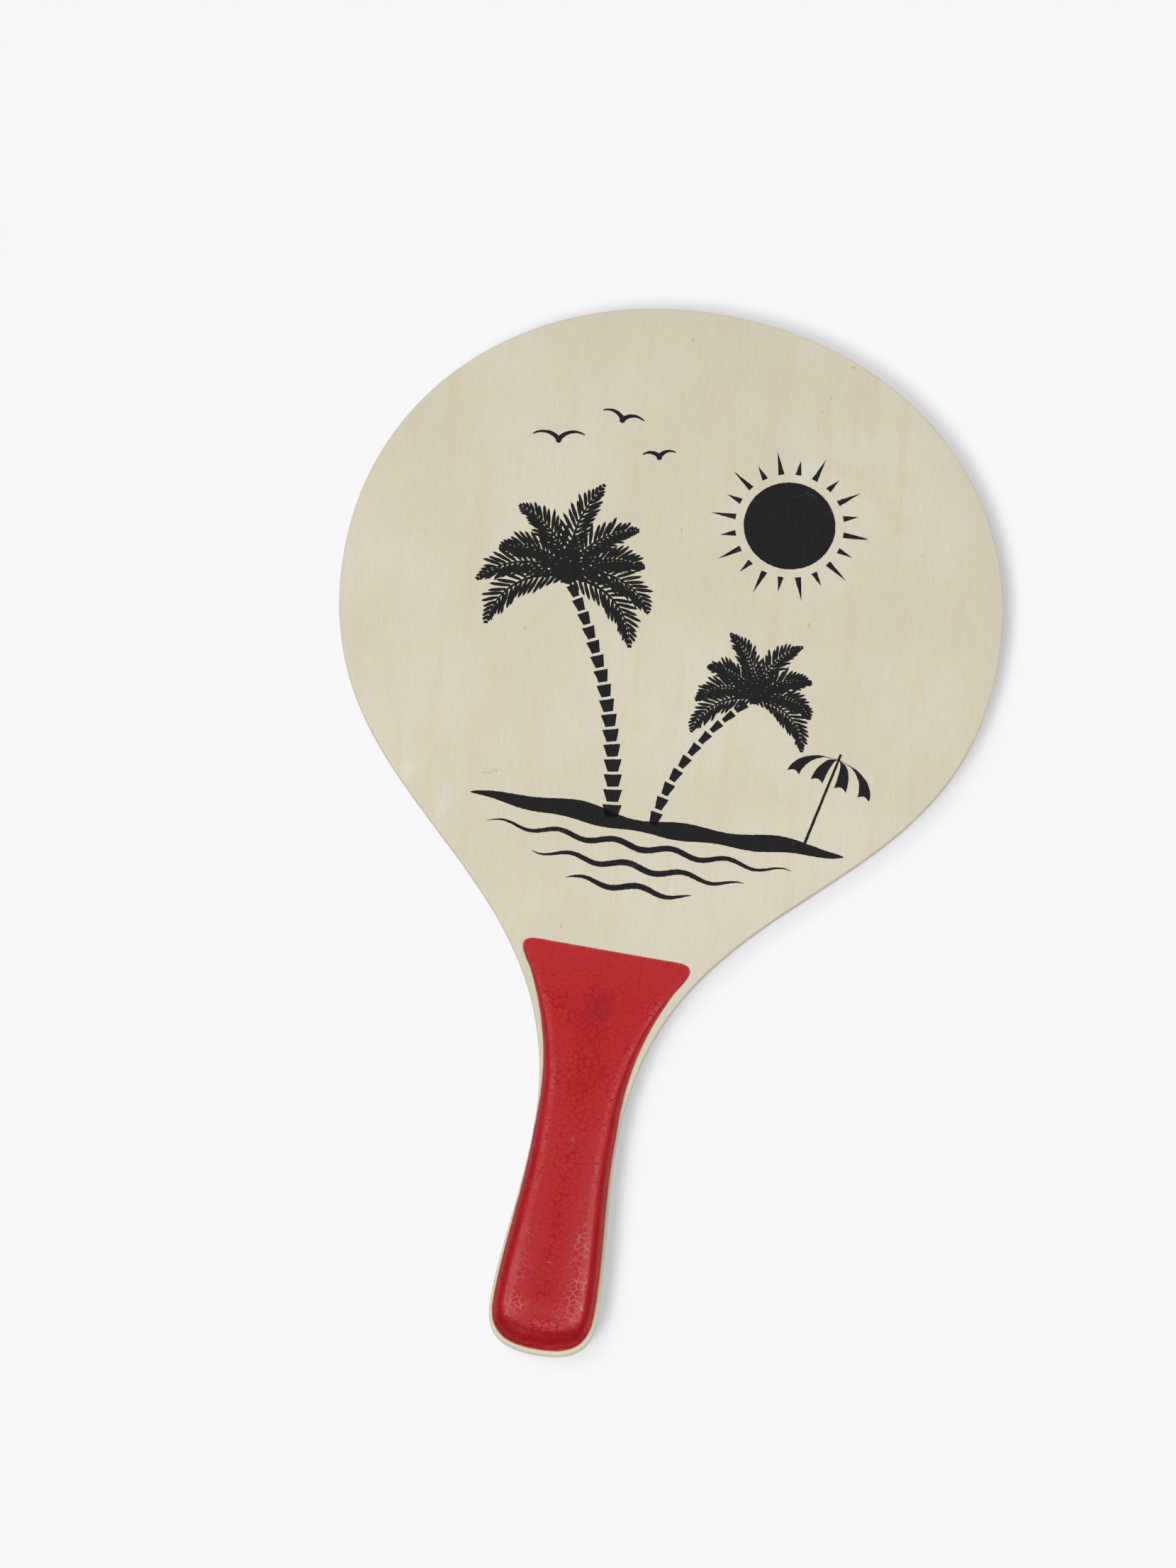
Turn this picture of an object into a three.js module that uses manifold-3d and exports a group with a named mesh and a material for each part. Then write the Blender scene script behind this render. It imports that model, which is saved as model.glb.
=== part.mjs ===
// A frescobol racket: a sawn plywood bat with a two-part moulded grip, in millimetres.
// X runs across the blade, Y from the butt to the tip, and Z out of the front face.
import * as THREE from 'three';
import { mergeVertices } from 'three/addons/utils/BufferGeometryUtils.js';
import Module from 'manifold-3d';

// Board: the outline of the blade and the handle
const racketLength = 400;
const bladeWidth = 245;
const bladeWidestFromTip = 115;
const tipExponent = 2.07;
const waistWidth = 30.7;
const waistFromButt = 81;
const buttWidth = 39.1;
const buttWidestFromButt = 17;

// How far each bend of the outline reaches, as shares of the stretch that it belongs to
const throatShares = { upper: 0.49, lower: 0.5 };
const handleShares = { upper: 0.35, lower: 0.3 };
const buttShares = { side: 0.75, end: 0.665 };

// Board: the five plies, glued face to face
const faceVeneerThickness = 0.9;
const crossbandThickness = 1.1;
const corePlyThickness = 1;
const boardThickness = corePlyThickness + (crossbandThickness + faceVeneerThickness) * 2;

// Grip: where each half lies on the handle
const gripTopFromButt = 150;
const gripCornerRadius = 8;
const gripAcrossOffset = -0.3;
const flareMargin = 3.5;
const waistMargin = 0.5;
const buttMargin = 1.3;

// Grip: how each half rises from the board
const gripTopThickness = 1.2;
const gripShoulderHeight = 8;
const gripCrownBulge = 0.9;
const gripRiseLength = 110;
const gripSideWidth = 6;
const gripEndWidth = 8.5;
const gripEndReach = 16;
const spineFromGripTop = 14;
const spineFromGripEnd = 17;

// How the side of a grip half bends from its foot to its shoulder, as shares of its width and height
const sideShares = { footAcross: 0, footUp: 0.8, shoulderAcross: 0.3, shoulderUp: 0.95 };

// Grip: the moulded wall, and the pegs that hold the two halves together through the handle
const shellWall = 1.8;
const solidTopLength = 20;
const hollowCornerRadius = 3;
const pegCount = 3;
const firstPegFromButt = 27;
const lastPegFromGripTop = 23;
const pegRadius = 2.4;
const bossWall = 1.9;
const pegHoleClearance = 0.5;
const socketClearance = 0.3;
const socketRoof = 1.4;
const pegTipGap = 0.4;
const pegRoot = 0.9;
const cutOverrun = 1;
const shortestFacet = 1;

// Fineness of the facets
const tipSteps = 30;
const throatSteps = 22;
const handleSteps = 10;
const buttSteps = 9;
const cornerSteps = 5;
const topEdgeSteps = 4;
const edgeRings = 5;
const crownRings = 4;
const holeSteps = 10;
const roundSides = 20;

// Places along the racket, from the middle of its length
const tipY = racketLength / 2;
const buttY = -racketLength / 2;
const widestY = tipY - bladeWidestFromTip;
const waistY = buttY + waistFromButt;
const buttWidestY = buttY + buttWidestFromButt;
const gripTopY = buttY + gripTopFromButt;
const gripEndY = buttY + buttMargin;
const hollowTopY = gripTopY - solidTopLength;
const firstPegY = buttY + firstPegFromButt;
const lastPegY = gripTopY - lastPegFromGripTop;
const pegPlaces = Array.from({ length: pegCount }, (_, i) => {
  return THREE.MathUtils.lerp(firstPegY, lastPegY, i / (pegCount - 1));
});

// The racket lies on the crown of its back half, which is its lowest place
const gripHeight = gripShoulderHeight + gripCrownBulge;
const bossRadius = pegRadius + socketClearance + bossWall;
const restHeight = boardThickness / 2 + gripHeight;

// The bend of a grip half's side, over a width and a height of one
const sideBend = new THREE.CubicBezierCurve(
  new THREE.Vector2(),
  new THREE.Vector2(sideShares.footAcross, sideShares.footUp),
  new THREE.Vector2(sideShares.shoulderAcross, sideShares.shoulderUp),
  new THREE.Vector2(1, 1),
);

const wasm = await Module();
wasm.setup();

// Half of the board's outline, from the tip round the right side to the butt
function boardHalfOutline() {
  const points = [];
  for (let i = 0; i < tipSteps; i += 1) {
    const angle = (i / tipSteps) * (Math.PI / 2);
    const across = Math.sin(angle) ** (2 / tipExponent);
    const along = Math.cos(angle) ** (2 / tipExponent);
    points.push(new THREE.Vector2((across * bladeWidth) / 2, widestY + along * bladeWidestFromTip));
  }
  const widest = new THREE.Vector2(bladeWidth / 2, widestY);
  const waist = new THREE.Vector2(waistWidth / 2, waistY);
  const buttWidest = new THREE.Vector2(buttWidth / 2, buttWidestY);
  const butt = new THREE.Vector2(0, buttY);
  const throatSpan = widestY - waistY;
  const handleSpan = waistY - buttWidestY;
  const buttSpan = buttWidestY - buttY;
  const throat = new THREE.CubicBezierCurve(
    widest,
    new THREE.Vector2(widest.x, widest.y - throatSpan * throatShares.upper),
    new THREE.Vector2(waist.x, waist.y + throatSpan * throatShares.lower),
    waist,
  );
  const handle = new THREE.CubicBezierCurve(
    waist,
    new THREE.Vector2(waist.x, waist.y - handleSpan * handleShares.upper),
    new THREE.Vector2(buttWidest.x, buttWidest.y + handleSpan * handleShares.lower),
    buttWidest,
  );
  const end = new THREE.CubicBezierCurve(
    buttWidest,
    new THREE.Vector2(buttWidest.x, buttWidest.y - buttSpan * buttShares.side),
    new THREE.Vector2(buttWidest.x * buttShares.end, butt.y),
    butt,
  );
  points.push(...throat.getPoints(throatSteps).slice(0, -1));
  points.push(...handle.getPoints(handleSteps).slice(0, -1));
  points.push(...end.getPoints(buttSteps));
  return points;
}

// A closed outline from one half of it, whose first and last points lie on the centreline
function mirrored(half) {
  const left = half.slice(1, -1).reverse();
  return [...half, ...left.map((p) => new THREE.Vector2(-p.x, p.y))];
}

// The direction into the outline at each point of a right half
function inwardNormals(half) {
  return half.map((point, i) => {
    const before = half[Math.max(i - 1, 0)];
    const after = half[Math.min(i + 1, half.length - 1)];
    const forward = after.clone().sub(before).normalize();
    const inward = new THREE.Vector2(forward.y, -forward.x);
    if (i === 0) inward.set(0, -1);
    if (i === half.length - 1) inward.set(0, 1);
    return inward;
  });
}

// The strip of wood that a grip half leaves bare beside it, at a place along the handle
function marginAt(y) {
  if (y > waistY) {
    return THREE.MathUtils.mapLinear(y, waistY, gripTopY, waistMargin, flareMargin);
  }
  const share = THREE.MathUtils.clamp((waistY - y) / (waistY - buttWidestY), 0, 1);
  return THREE.MathUtils.lerp(waistMargin, buttMargin, share);
}

// The board's outline moved in by a margin, below a straight edge with rounded corners
function insetHalfOutline(topY, cornerRadius, margin) {
  const board = boardHalfOutline();
  const normals = inwardNormals(board);
  const moved = board.map((p, i) => p.clone().addScaledVector(normals[i], margin(p.y)));
  const first = moved.findIndex((p) => p.y < topY);
  const above = moved[first - 1];
  const below = moved[first];
  const corner = above.clone().lerp(below, (above.y - topY) / (above.y - below.y));
  const side = moved.slice(first).filter((p) => p.distanceTo(corner) > cornerRadius);
  const onSide = corner.clone().add(side[0].clone().sub(corner).setLength(cornerRadius));
  const onTop = new THREE.Vector2(corner.x - cornerRadius, topY);
  const bend = new THREE.QuadraticBezierCurve(onTop, corner, onSide);
  const top = Array.from({ length: topEdgeSteps }, (_, i) => {
    return new THREE.Vector2((onTop.x * i) / topEdgeSteps, topY);
  });
  const bendPoints = bend.getPoints(cornerSteps);
  return [...top, ...bendPoints, ...side.filter((p) => p.distanceTo(onSide) > shortestFacet)];
}

// The height of a grip half's shoulder above the board, at a place along the handle
function shoulderHeightAt(y) {
  const share = THREE.MathUtils.clamp((gripTopY - y) / gripRiseLength, 0, 1);
  const rise = gripShoulderHeight - gripTopThickness;
  return gripTopThickness + rise * Math.sin((share * Math.PI) / 2);
}

// The width of a grip half's side at its full height, which grows round the butt
function sideWidthAt(y) {
  const share = THREE.MathUtils.smoothstep(y, gripEndY, gripEndY + gripEndReach);
  return THREE.MathUtils.lerp(gripEndWidth, gripSideWidth, share);
}

// The height of a grip half's crown above the board, on the centreline
function crownHeightAt(y) {
  return (shoulderHeightAt(y) * gripHeight) / gripShoulderHeight;
}

// A solid from rings of points that share their count, from the base's spine out, up and in again
function solidFromRings(rings) {
  const positions = [];
  const corner = (p) => positions.push(p.x, p.y, p.z);
  const count = rings[0].length;
  for (let k = 0; k < rings.length - 1; k += 1) {
    for (let i = 0; i < count; i += 1) {
      const next = (i + 1) % count;
      [rings[k][i], rings[k + 1][next], rings[k][next]].forEach(corner);
      [rings[k][i], rings[k + 1][i], rings[k + 1][next]].forEach(corner);
    }
  }
  const geometry = new THREE.BufferGeometry();
  geometry.setAttribute('position', new THREE.Float32BufferAttribute(positions, 3));
  return toSolid(geometry);
}

// A boolean-ready solid from a closed geometry
function toSolid(geometry) {
  const bare = geometry.clone();
  bare.deleteAttribute('normal');
  bare.deleteAttribute('uv');
  const merged = mergeVertices(bare);
  const index = merged.index.array;
  const kept = [];
  for (let i = 0; i < index.length; i += 3) {
    const [a, b, c] = index.slice(i, i + 3);
    if (a !== b && b !== c && c !== a) kept.push(a, b, c);
  }
  const mesh = new wasm.Mesh({
    numProp: 3,
    vertProperties: new Float32Array(merged.attributes.position.array),
    triVerts: new Uint32Array(kept),
  });
  return new wasm.Manifold(mesh);
}

// A three.js geometry from a solid
function toGeometry(solid) {
  const mesh = solid.getMesh();
  const geometry = new THREE.BufferGeometry();
  geometry.setAttribute('position', new THREE.Float32BufferAttribute(mesh.vertProperties, 3));
  geometry.setIndex(new THREE.Uint32BufferAttribute(mesh.triVerts, 1));
  geometry.computeVertexNormals();
  return geometry;
}

// A domed solid over an outline, a wall's thickness inside the grip's own: bent sides and a low crown
function dome(half, wall, baseZ) {
  const normals = inwardNormals(half);
  const spineTop = half[0].y - spineFromGripTop;
  const spineEnd = half[half.length - 1].y + spineFromGripEnd;
  const halfRing = (place) => half.map((p, i) => place(p, normals[i]));
  const spineAt = (y) => new THREE.Vector2(0, THREE.MathUtils.clamp(y, spineEnd, spineTop));
  const edgePoint = (share) => (p, normal) => {
    const bend = sideBend.getPoint(share);
    const width = ((sideWidthAt(p.y) - wall) * shoulderHeightAt(p.y)) / gripShoulderHeight;
    const at = p.clone().addScaledVector(normal, width * bend.x);
    return new THREE.Vector3(at.x, at.y, (shoulderHeightAt(at.y) - wall) * bend.y);
  };
  const crownPoint = (share) => (p, normal) => {
    const shoulder = edgePoint(1)(p, normal);
    const at = new THREE.Vector2(shoulder.x, shoulder.y).lerp(spineAt(shoulder.y), share);
    const bulge = (crownHeightAt(at.y) - shoulderHeightAt(at.y)) * (1 - (1 - share) ** 2);
    return new THREE.Vector3(at.x, at.y, shoulderHeightAt(at.y) - wall + bulge);
  };
  const halves = [halfRing((p) => new THREE.Vector3(0, spineAt(p.y).y, baseZ))];
  if (baseZ < 0) halves.push(halfRing((p) => new THREE.Vector3(p.x, p.y, baseZ)));
  for (let k = 0; k <= edgeRings; k += 1) {
    halves.push(halfRing(edgePoint(k / edgeRings)));
  }
  for (let k = 1; k <= crownRings; k += 1) {
    halves.push(halfRing(crownPoint(k / crownRings)));
  }
  const rings = halves.map((ring) => {
    const left = ring.slice(1, -1).reverse();
    return [...ring, ...left.map((p) => new THREE.Vector3(-p.x, p.y, p.z))];
  });
  return solidFromRings(rings);
}

// A round bar along Z between two heights
function bar(radius, y, fromZ, toZ) {
  const cylinder = new THREE.CylinderGeometry(radius, radius, toZ - fromZ, roundSides);
  cylinder.rotateX(Math.PI / 2);
  cylinder.translate(0, y, (fromZ + toZ) / 2);
  return toSolid(cylinder);
}

// How deep a socket reaches into the front half, from the board
function socketDepthAt(y) {
  return crownHeightAt(y) - socketRoof;
}

// A hollow grip half with its bosses, standing on the board at Z zero
function gripHalf() {
  const outline = insetHalfOutline(gripTopY, gripCornerRadius, marginAt);
  const hollowMargin = (y) => marginAt(y) + shellWall;
  const hollowOutline = insetHalfOutline(hollowTopY, hollowCornerRadius, hollowMargin);
  const outer = dome(outline, 0, 0);
  const hollow = dome(hollowOutline, shellWall, -cutOverrun);
  let shell = outer.subtract(hollow);
  pegPlaces.forEach((y) => {
    shell = shell.add(bar(bossRadius, y, 0, gripHeight).intersect(outer));
  });
  return shell;
}

// The front half, with a socket in each boss
function frontGripShell() {
  let shell = gripHalf();
  pegPlaces.forEach((y) => {
    const socket = bar(pegRadius + socketClearance, y, -cutOverrun, socketDepthAt(y));
    shell = shell.subtract(socket);
  });
  return toGeometry(shell);
}

// The back half, with a peg on each boss that passes through the board into the front half
function backGripShell() {
  let shell = gripHalf();
  pegPlaces.forEach((y) => {
    const reach = boardThickness + socketDepthAt(y) - pegTipGap;
    shell = shell.add(bar(pegRadius, y, -reach, pegRoot));
  });
  return toGeometry(shell);
}

// One ply of the board, sawn to the outline and drilled for the pegs
function ply(thickness) {
  const shape = new THREE.Shape(mirrored(boardHalfOutline()));
  pegPlaces.forEach((y) => {
    const hole = new THREE.Path();
    hole.absarc(gripAcrossOffset, y, pegRadius + pegHoleClearance, 0, Math.PI * 2, false);
    shape.holes.push(hole);
  });
  return new THREE.ExtrudeGeometry(shape, {
    depth: thickness,
    steps: 1,
    bevelEnabled: false,
    curveSegments: holeSteps,
  });
}

function wood(colour, roughness) {
  return new THREE.MeshStandardMaterial({ color: colour, roughness, metalness: 0 });
}

function redPlastic() {
  return new THREE.MeshStandardMaterial({ color: 0xb53134, roughness: 0.42, metalness: 0 });
}

const racket = new THREE.Group();
racket.position.z = restHeight;

// The plies are laid up from the back face to the front face
const plies = [
  { name: 'back_face_veneer', thickness: faceVeneerThickness, colour: 0xd8d2b9, roughness: 0.72 },
  { name: 'back_crossband', thickness: crossbandThickness, colour: 0xc9bfa6, roughness: 0.82 },
  { name: 'core_ply', thickness: corePlyThickness, colour: 0xcfc5a8, roughness: 0.8 },
  { name: 'front_crossband', thickness: crossbandThickness, colour: 0xc9bfa6, roughness: 0.82 },
  { name: 'front_face_veneer', thickness: faceVeneerThickness, colour: 0xdad5bd, roughness: 0.7 },
];
let layerZ = -boardThickness / 2;
plies.forEach(({ name, thickness, colour, roughness }) => {
  const layer = new THREE.Mesh(ply(thickness), wood(colour, roughness));
  layer.name = name;
  layer.position.z = layerZ;
  racket.add(layer);
  layerZ += thickness;
});

const frontGrip = new THREE.Mesh(frontGripShell(), redPlastic());
frontGrip.name = 'front_grip_shell';
frontGrip.position.set(gripAcrossOffset, 0, boardThickness / 2);
racket.add(frontGrip);

const backGrip = new THREE.Mesh(backGripShell(), redPlastic());
backGrip.name = 'back_grip_shell';
backGrip.position.set(gripAcrossOffset, 0, -boardThickness / 2);
backGrip.rotation.y = Math.PI;
racket.add(backGrip);

export default racket;
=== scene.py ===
"""A wooden beach racket: five glued plies, two moulded grip halves and a printed face."""
import math
from types import SimpleNamespace

import bmesh
import bpy
import numpy as np
from bpy.props import FloatProperty, FloatVectorProperty, IntProperty, PointerProperty
from mathutils import Matrix, Vector, noise
from mathutils.geometry import delaunay_2d_cdt


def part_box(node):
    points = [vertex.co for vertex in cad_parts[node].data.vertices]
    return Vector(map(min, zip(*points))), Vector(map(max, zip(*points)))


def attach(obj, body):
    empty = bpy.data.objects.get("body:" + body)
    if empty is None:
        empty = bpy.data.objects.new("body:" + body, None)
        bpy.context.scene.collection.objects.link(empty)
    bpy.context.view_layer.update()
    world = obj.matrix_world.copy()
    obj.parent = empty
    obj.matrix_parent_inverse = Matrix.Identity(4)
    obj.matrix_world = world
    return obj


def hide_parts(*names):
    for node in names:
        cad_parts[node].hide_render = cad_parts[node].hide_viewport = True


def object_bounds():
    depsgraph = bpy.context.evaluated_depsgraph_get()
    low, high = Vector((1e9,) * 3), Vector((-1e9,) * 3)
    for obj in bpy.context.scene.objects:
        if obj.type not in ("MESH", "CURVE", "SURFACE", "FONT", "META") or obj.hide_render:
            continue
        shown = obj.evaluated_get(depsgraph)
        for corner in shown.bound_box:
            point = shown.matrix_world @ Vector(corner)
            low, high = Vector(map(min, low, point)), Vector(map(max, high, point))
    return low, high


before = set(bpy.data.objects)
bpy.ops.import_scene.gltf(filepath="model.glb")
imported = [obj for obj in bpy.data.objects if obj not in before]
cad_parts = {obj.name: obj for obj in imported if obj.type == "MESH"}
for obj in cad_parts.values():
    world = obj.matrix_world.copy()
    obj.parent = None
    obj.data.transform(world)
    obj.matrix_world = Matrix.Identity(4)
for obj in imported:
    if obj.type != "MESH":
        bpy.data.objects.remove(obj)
CAD_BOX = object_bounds()

bl_info = {
    "name": "Beach Racket",
    "version": (1, 0, 0),
    "blender": (4, 5, 0),
    "location": "View3D > Sidebar > Racket",
    "description": "Builds a wooden beach racket round its packed frame",
    "category": "Add Mesh",
}

MM = 0.001
MERGE_DISTANCE = 0.002 * MM
SMOOTH_ANGLE = math.radians(48)

# How a CAD outline is redrawn: points between two of its own, and a nudge that finds its top and bottom
CURVE_STEPS = 12
CENTRE_PULL = 0.01

# The nodes of the frame, from the front face to the back
FRONT_VENEER = "front_face_veneer"
BACK_VENEER = "back_face_veneer"
INNER_PLIES = ("front_crossband", "core_ply", "back_crossband")
FRONT_GRIP = "front_grip_shell"
BACK_GRIP = "back_grip_shell"

# Levels and ends of the racket, read from the frame
FRONT_FACE_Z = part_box(FRONT_VENEER)[1].z
BACK_FACE_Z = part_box(BACK_VENEER)[0].z
TIP_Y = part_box(FRONT_VENEER)[1].y
GRIP_TOP_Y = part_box(FRONT_GRIP)[1].y
GRIP_END_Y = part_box(FRONT_GRIP)[0].y
GRIP_CENTRE_X = (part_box(FRONT_GRIP)[0].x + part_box(FRONT_GRIP)[1].x) / 2


def linear(red, green, blue):
    """A colour given in screen values from 0 to 255, as linear light."""
    screen = (v / 255 for v in (red, green, blue))
    return tuple(((v + 0.055) / 1.055) ** 2.4 if v > 0.04 else v / 12.92 for v in screen)


def colour(default, name, description):
    """A colour property."""
    kind = {"subtype": "COLOR", "size": 3, "min": 0, "max": 1}
    return FloatVectorProperty(name=name, description=description, default=default, **kind)


def number(default, name, description, **kind):
    """A property that holds a number."""
    return FloatProperty(name=name, description=description, default=default, **kind)


def metres(default, name, description):
    """A length property."""
    return number(default, name, description, unit="LENGTH", min=0)


def angle(degrees, name, description):
    """An angle property."""
    return number(math.radians(degrees), name, description, subtype="ANGLE")


def whole(default, name, description, least):
    """A property that holds a whole number."""
    return IntProperty(name=name, description=description, default=default, min=least)


class BoardSettings(bpy.types.PropertyGroup):
    """Sizes and colours of the plywood board."""

    edge_ease: metres(0.6 * MM, "Edge ease", "Radius sanded on the rim of each face")
    rim_spacing: metres(0.8 * MM, "Rim spacing", "Distance between the points of the sawn outline")
    saw_wander: metres(0.09 * MM, "Saw wander", "How far the sawn edge strays from its line")
    glue_groove: metres(0.015 * MM, "Glue groove", "Depth of the glue line between two plies")
    grain_angle: angle(4.9, "Grain angle", "How far the face grain leans from the racket's length")
    cream: colour(linear(210, 203, 181), "Cream", "Main colour of the face veneer")
    pale: colour(linear(214, 208, 188), "Pale", "Lighter areas of the face veneer")
    streak: colour(linear(211, 200, 168), "Streak", "Yellow streaks along the grain")
    stain: colour(linear(212, 192, 147), "Stain", "Faint warm stains")
    fleck: colour(linear(190, 158, 100), "Fleck", "Small tan flecks")
    chalk: colour(linear(222, 226, 220), "Chalk", "Rubbed whitish patches")
    nick: colour(linear(84, 68, 54), "Nick", "Small dark nicks")
    smudge: colour(linear(120, 114, 100), "Smudge", "Grey rubbed-in dirt")
    sawn_long: colour(linear(216, 203, 188), "Sawn long grain", "Side wall where the saw ran along the grain")
    sawn_end: colour(linear(212, 200, 178), "Sawn end grain", "Side wall where the saw cut across the grain")


class GripSettings(bpy.types.PropertyGroup):
    """Sizes and colours of the moulded grip halves."""

    crown_bulge: metres(0.9 * MM, "Crown bulge", "Rise of the crown above the shoulders")
    top_height: metres(0.32 * MM, "Top height", "Height of the straight top edge above the board")
    rise_length: metres(110 * MM, "Rise length", "Stretch over which the grip rises to its full height")
    side_width: metres(6 * MM, "Side width", "Width of the sloping side at full height")
    end_width: metres(8.5 * MM, "End width", "Width of the sloping side at the butt")
    end_reach: metres(16 * MM, "End reach", "Stretch over which the side widens towards the butt")
    foot_lip: metres(0.38 * MM, "Foot lip", "Width of the thin lip where the plastic meets the wood")
    spine_from_top: metres(14 * MM, "Spine from top", "Where the crown's ridge starts below the top edge")
    spine_from_end: metres(17 * MM, "Spine from end", "Where the crown's ridge ends above the butt")
    point_spacing: metres(0.42 * MM, "Point spacing", "Distance between points round the grip")
    edge_rings: whole(20, "Edge rings", "Rings of points up the side", 4)
    crown_rings: whole(46, "Crown rings", "Rings of points across the crown", 4)
    edge_wander: metres(0.07 * MM, "Edge wander", "Unevenness of the moulded foot line")
    cell_size: metres(2.3 * MM, "Cell size", "Width of the cells of the leather grain")
    cell_relief: metres(0.012 * MM, "Cell relief", "How far the cells swell above their borders")
    grain_seed: number(3.0, "Grain seed", "Picks another run of the grain")
    red: colour((0.48, 0.009, 0.011), "Red", "Main colour of the plastic")
    # Deep red of the grain's valleys; down the steep sides and in the creases it is painted shade
    deep_red_and_shade: colour((0.35, 0.001, 0.008), "Deep red", "Colour of the valleys and the sides")
    crack: colour((0.19, 0.001, 0.005), "Crack", "Fine cracks down the sides")
    # Rubbed: painted sheen on the crown, painted highlight along the shoulders and painted light low on the
    # left side; round the gate it is a real scuff
    rubbed: colour((0.52, 0.055, 0.060), "Rubbed", "Shoulders that hands have rubbed")
    # Painted glints along the shoulders
    glint_speck: colour((0.70, 0.22, 0.22), "Speck", "Scuffed specks along the shoulders")
    # Painted light on the right side near its foot, where the lamp on the right falls
    lit_side: colour((0.88, 0.062, 0.066), "Worn", "The right side near its foot, which is paler")
    smudge: colour((0.31, 0.012, 0.028), "Smudge", "Sunk marks over the bosses inside")
    gate: colour((0.6, 0.16, 0.16), "Gate", "The ring where the plastic ran into the mould")
    # Painted shade on the rounded butt, which is also duller
    butt: colour((0.225, 0.014, 0.019), "Butt", "The rounded end, which is duller")
    # Foot and lip: painted glow, the orange of light through the thin plastic edge where it meets the wood;
    # the foot's colour also marks the nick
    foot: colour(linear(204, 110, 60), "Foot", "Thin lip where the plastic meets the wood")
    lip: colour(linear(206, 128, 104), "Lip", "The same lip further up the handle")
    # Painted highlights along the top edge: a pale rim, and paler still the thin edge itself
    top_rim_highlight: colour(linear(222, 120, 112), "Top rim", "Pale line along the top edge")
    top_edge_highlight: colour((0.9, 0.6, 0.5), "Top edge", "The thin edge itself, paler still")


class PrintSettings(bpy.types.PropertyGroup):
    """Sizes and colours of the picture printed on the front face."""

    ink_thickness: metres(0.05 * MM, "Ink thickness", "Height of the ink above the veneer")
    ragged: metres(0.10 * MM, "Ragged edge", "How far the ink's edge strays where it ran into the grain")
    sun_radius: metres(17 * MM, "Sun radius", "Radius of the sun's disc")
    ray_count: whole(20, "Rays", "Rays round the sun", 3)
    ray_length: metres(9.5 * MM, "Ray length", "Length of the sun's longer rays")
    leaflet_count: whole(19, "Leaflets", "Leaflets on each side of a palm frond", 3)
    leaflet_length: metres(9 * MM, "Leaflet length", "Length of a palm frond's longest leaflets")
    leaflet_width: metres(1.5 * MM, "Leaflet width", "Width of a palm frond's leaflets")
    trunk_rings: whole(17, "Trunk rings", "Rings of bark on the taller trunk", 2)
    ink: colour(linear(27, 27, 28), "Ink", "Colour of the ink")
    rubbed: colour(linear(66, 63, 58), "Rubbed ink", "Scratches and thin places in the ink")


class StageSettings(bpy.types.PropertyGroup):
    """The camera, the light and the floor."""

    tilt: angle(16.4, "Tilt", "Lean of the camera from straight down")
    azimuth: angle(5.35, "Azimuth", "Turn of the camera round the racket from the butt's side")
    roll: angle(4.8, "Roll", "Turn of the picture about the view")
    distance: metres(2.07, "Distance", "From the camera to the blade")
    lens: number(130.2, "Lens", "Focal length on a 36 mm tall picture, in mm")
    aim_across: number(-0.01824, "Aim across", "Across the blade, to the view's middle", unit="LENGTH")
    aim_along: number(0.0105, "Aim along", "Along the blade, to the view's middle", unit="LENGTH")
    floor: colour((0.93, 0.93, 0.93), "Floor", "Colour of the floor and the backdrop")
    shadow_lift: number(0.2, "Shadow lift", "Share of the floor's colour left in a shadow", min=0, max=1)
    key_power: number(1.455, "Key", "Strength of the lamp near the handle")
    left_power: number(0.715, "Left", "Strength of the lamp on the left")
    right_power: number(0.87, "Right", "Strength of the shadowless lamp on the right")
    sky_power: number(0.14, "Sky", "Strength of the even light from all round")
    backdrop_distance: metres(18.0, "Backdrop distance", "From the racket to the pale wall all round")
    backdrop_height: metres(2.2, "Backdrop height", "Height of the pale wall all round")


SETTINGS = {
    "racket_board": BoardSettings,
    "racket_grip": GripSettings,
    "racket_print": PrintSettings,
    "racket_stage": StageSettings,
}


def operators(operation):
    """What Python calls for an operator where the value is on its left, and where it is on its right."""
    return (
        lambda self, other: self.math(operation, self, other),
        lambda self, other: self.math(operation, other, self),
    )


class Value:
    """A node's output that Python's own operators work on, each adding the Math node for its sum."""

    __add__, __radd__ = operators("ADD")
    __sub__, __rsub__ = operators("SUBTRACT")
    __mul__, __rmul__ = operators("MULTIPLY")
    __truediv__, __rtruediv__ = operators("DIVIDE")
    __pow__, __rpow__ = operators("POWER")

    def __init__(self, tree, socket):
        self.tree = tree
        self.socket = socket

    def math(self, operation, first, second):
        """The Math node that does one operation on two values."""
        return self.tree.node("ShaderNodeMath", {"operation": operation}, {0: first, 1: second})

    def at_most(self, other):
        """The smaller of two values."""
        return self.math("MINIMUM", self, other)

    def at_least(self, other):
        """The larger of two values."""
        return self.math("MAXIMUM", self, other)

    def size(self):
        """The value without its sign."""
        return self.math("ABSOLUTE", self, 0)

    def step(self, low, high):
        """A smooth step that is 0 up to the low value and 1 from the high one."""
        settings = {"interpolation_type": "SMOOTHSTEP"}
        return self.tree.node("ShaderNodeMapRange", settings, {"Value": self, 1: low, 2: high})

    def fade(self, full, gone):
        """A smooth step that is 1 up to a value and 0 from a further one."""
        return 1 - self.step(full, gone)

    def mixed(self, share, other):
        """This colour with a share of another."""
        return self.tree.mix(share, self, other)

    def part(self, name):
        """Another output of the same node."""
        return Value(self.tree, self.socket.node.outputs[name])


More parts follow.
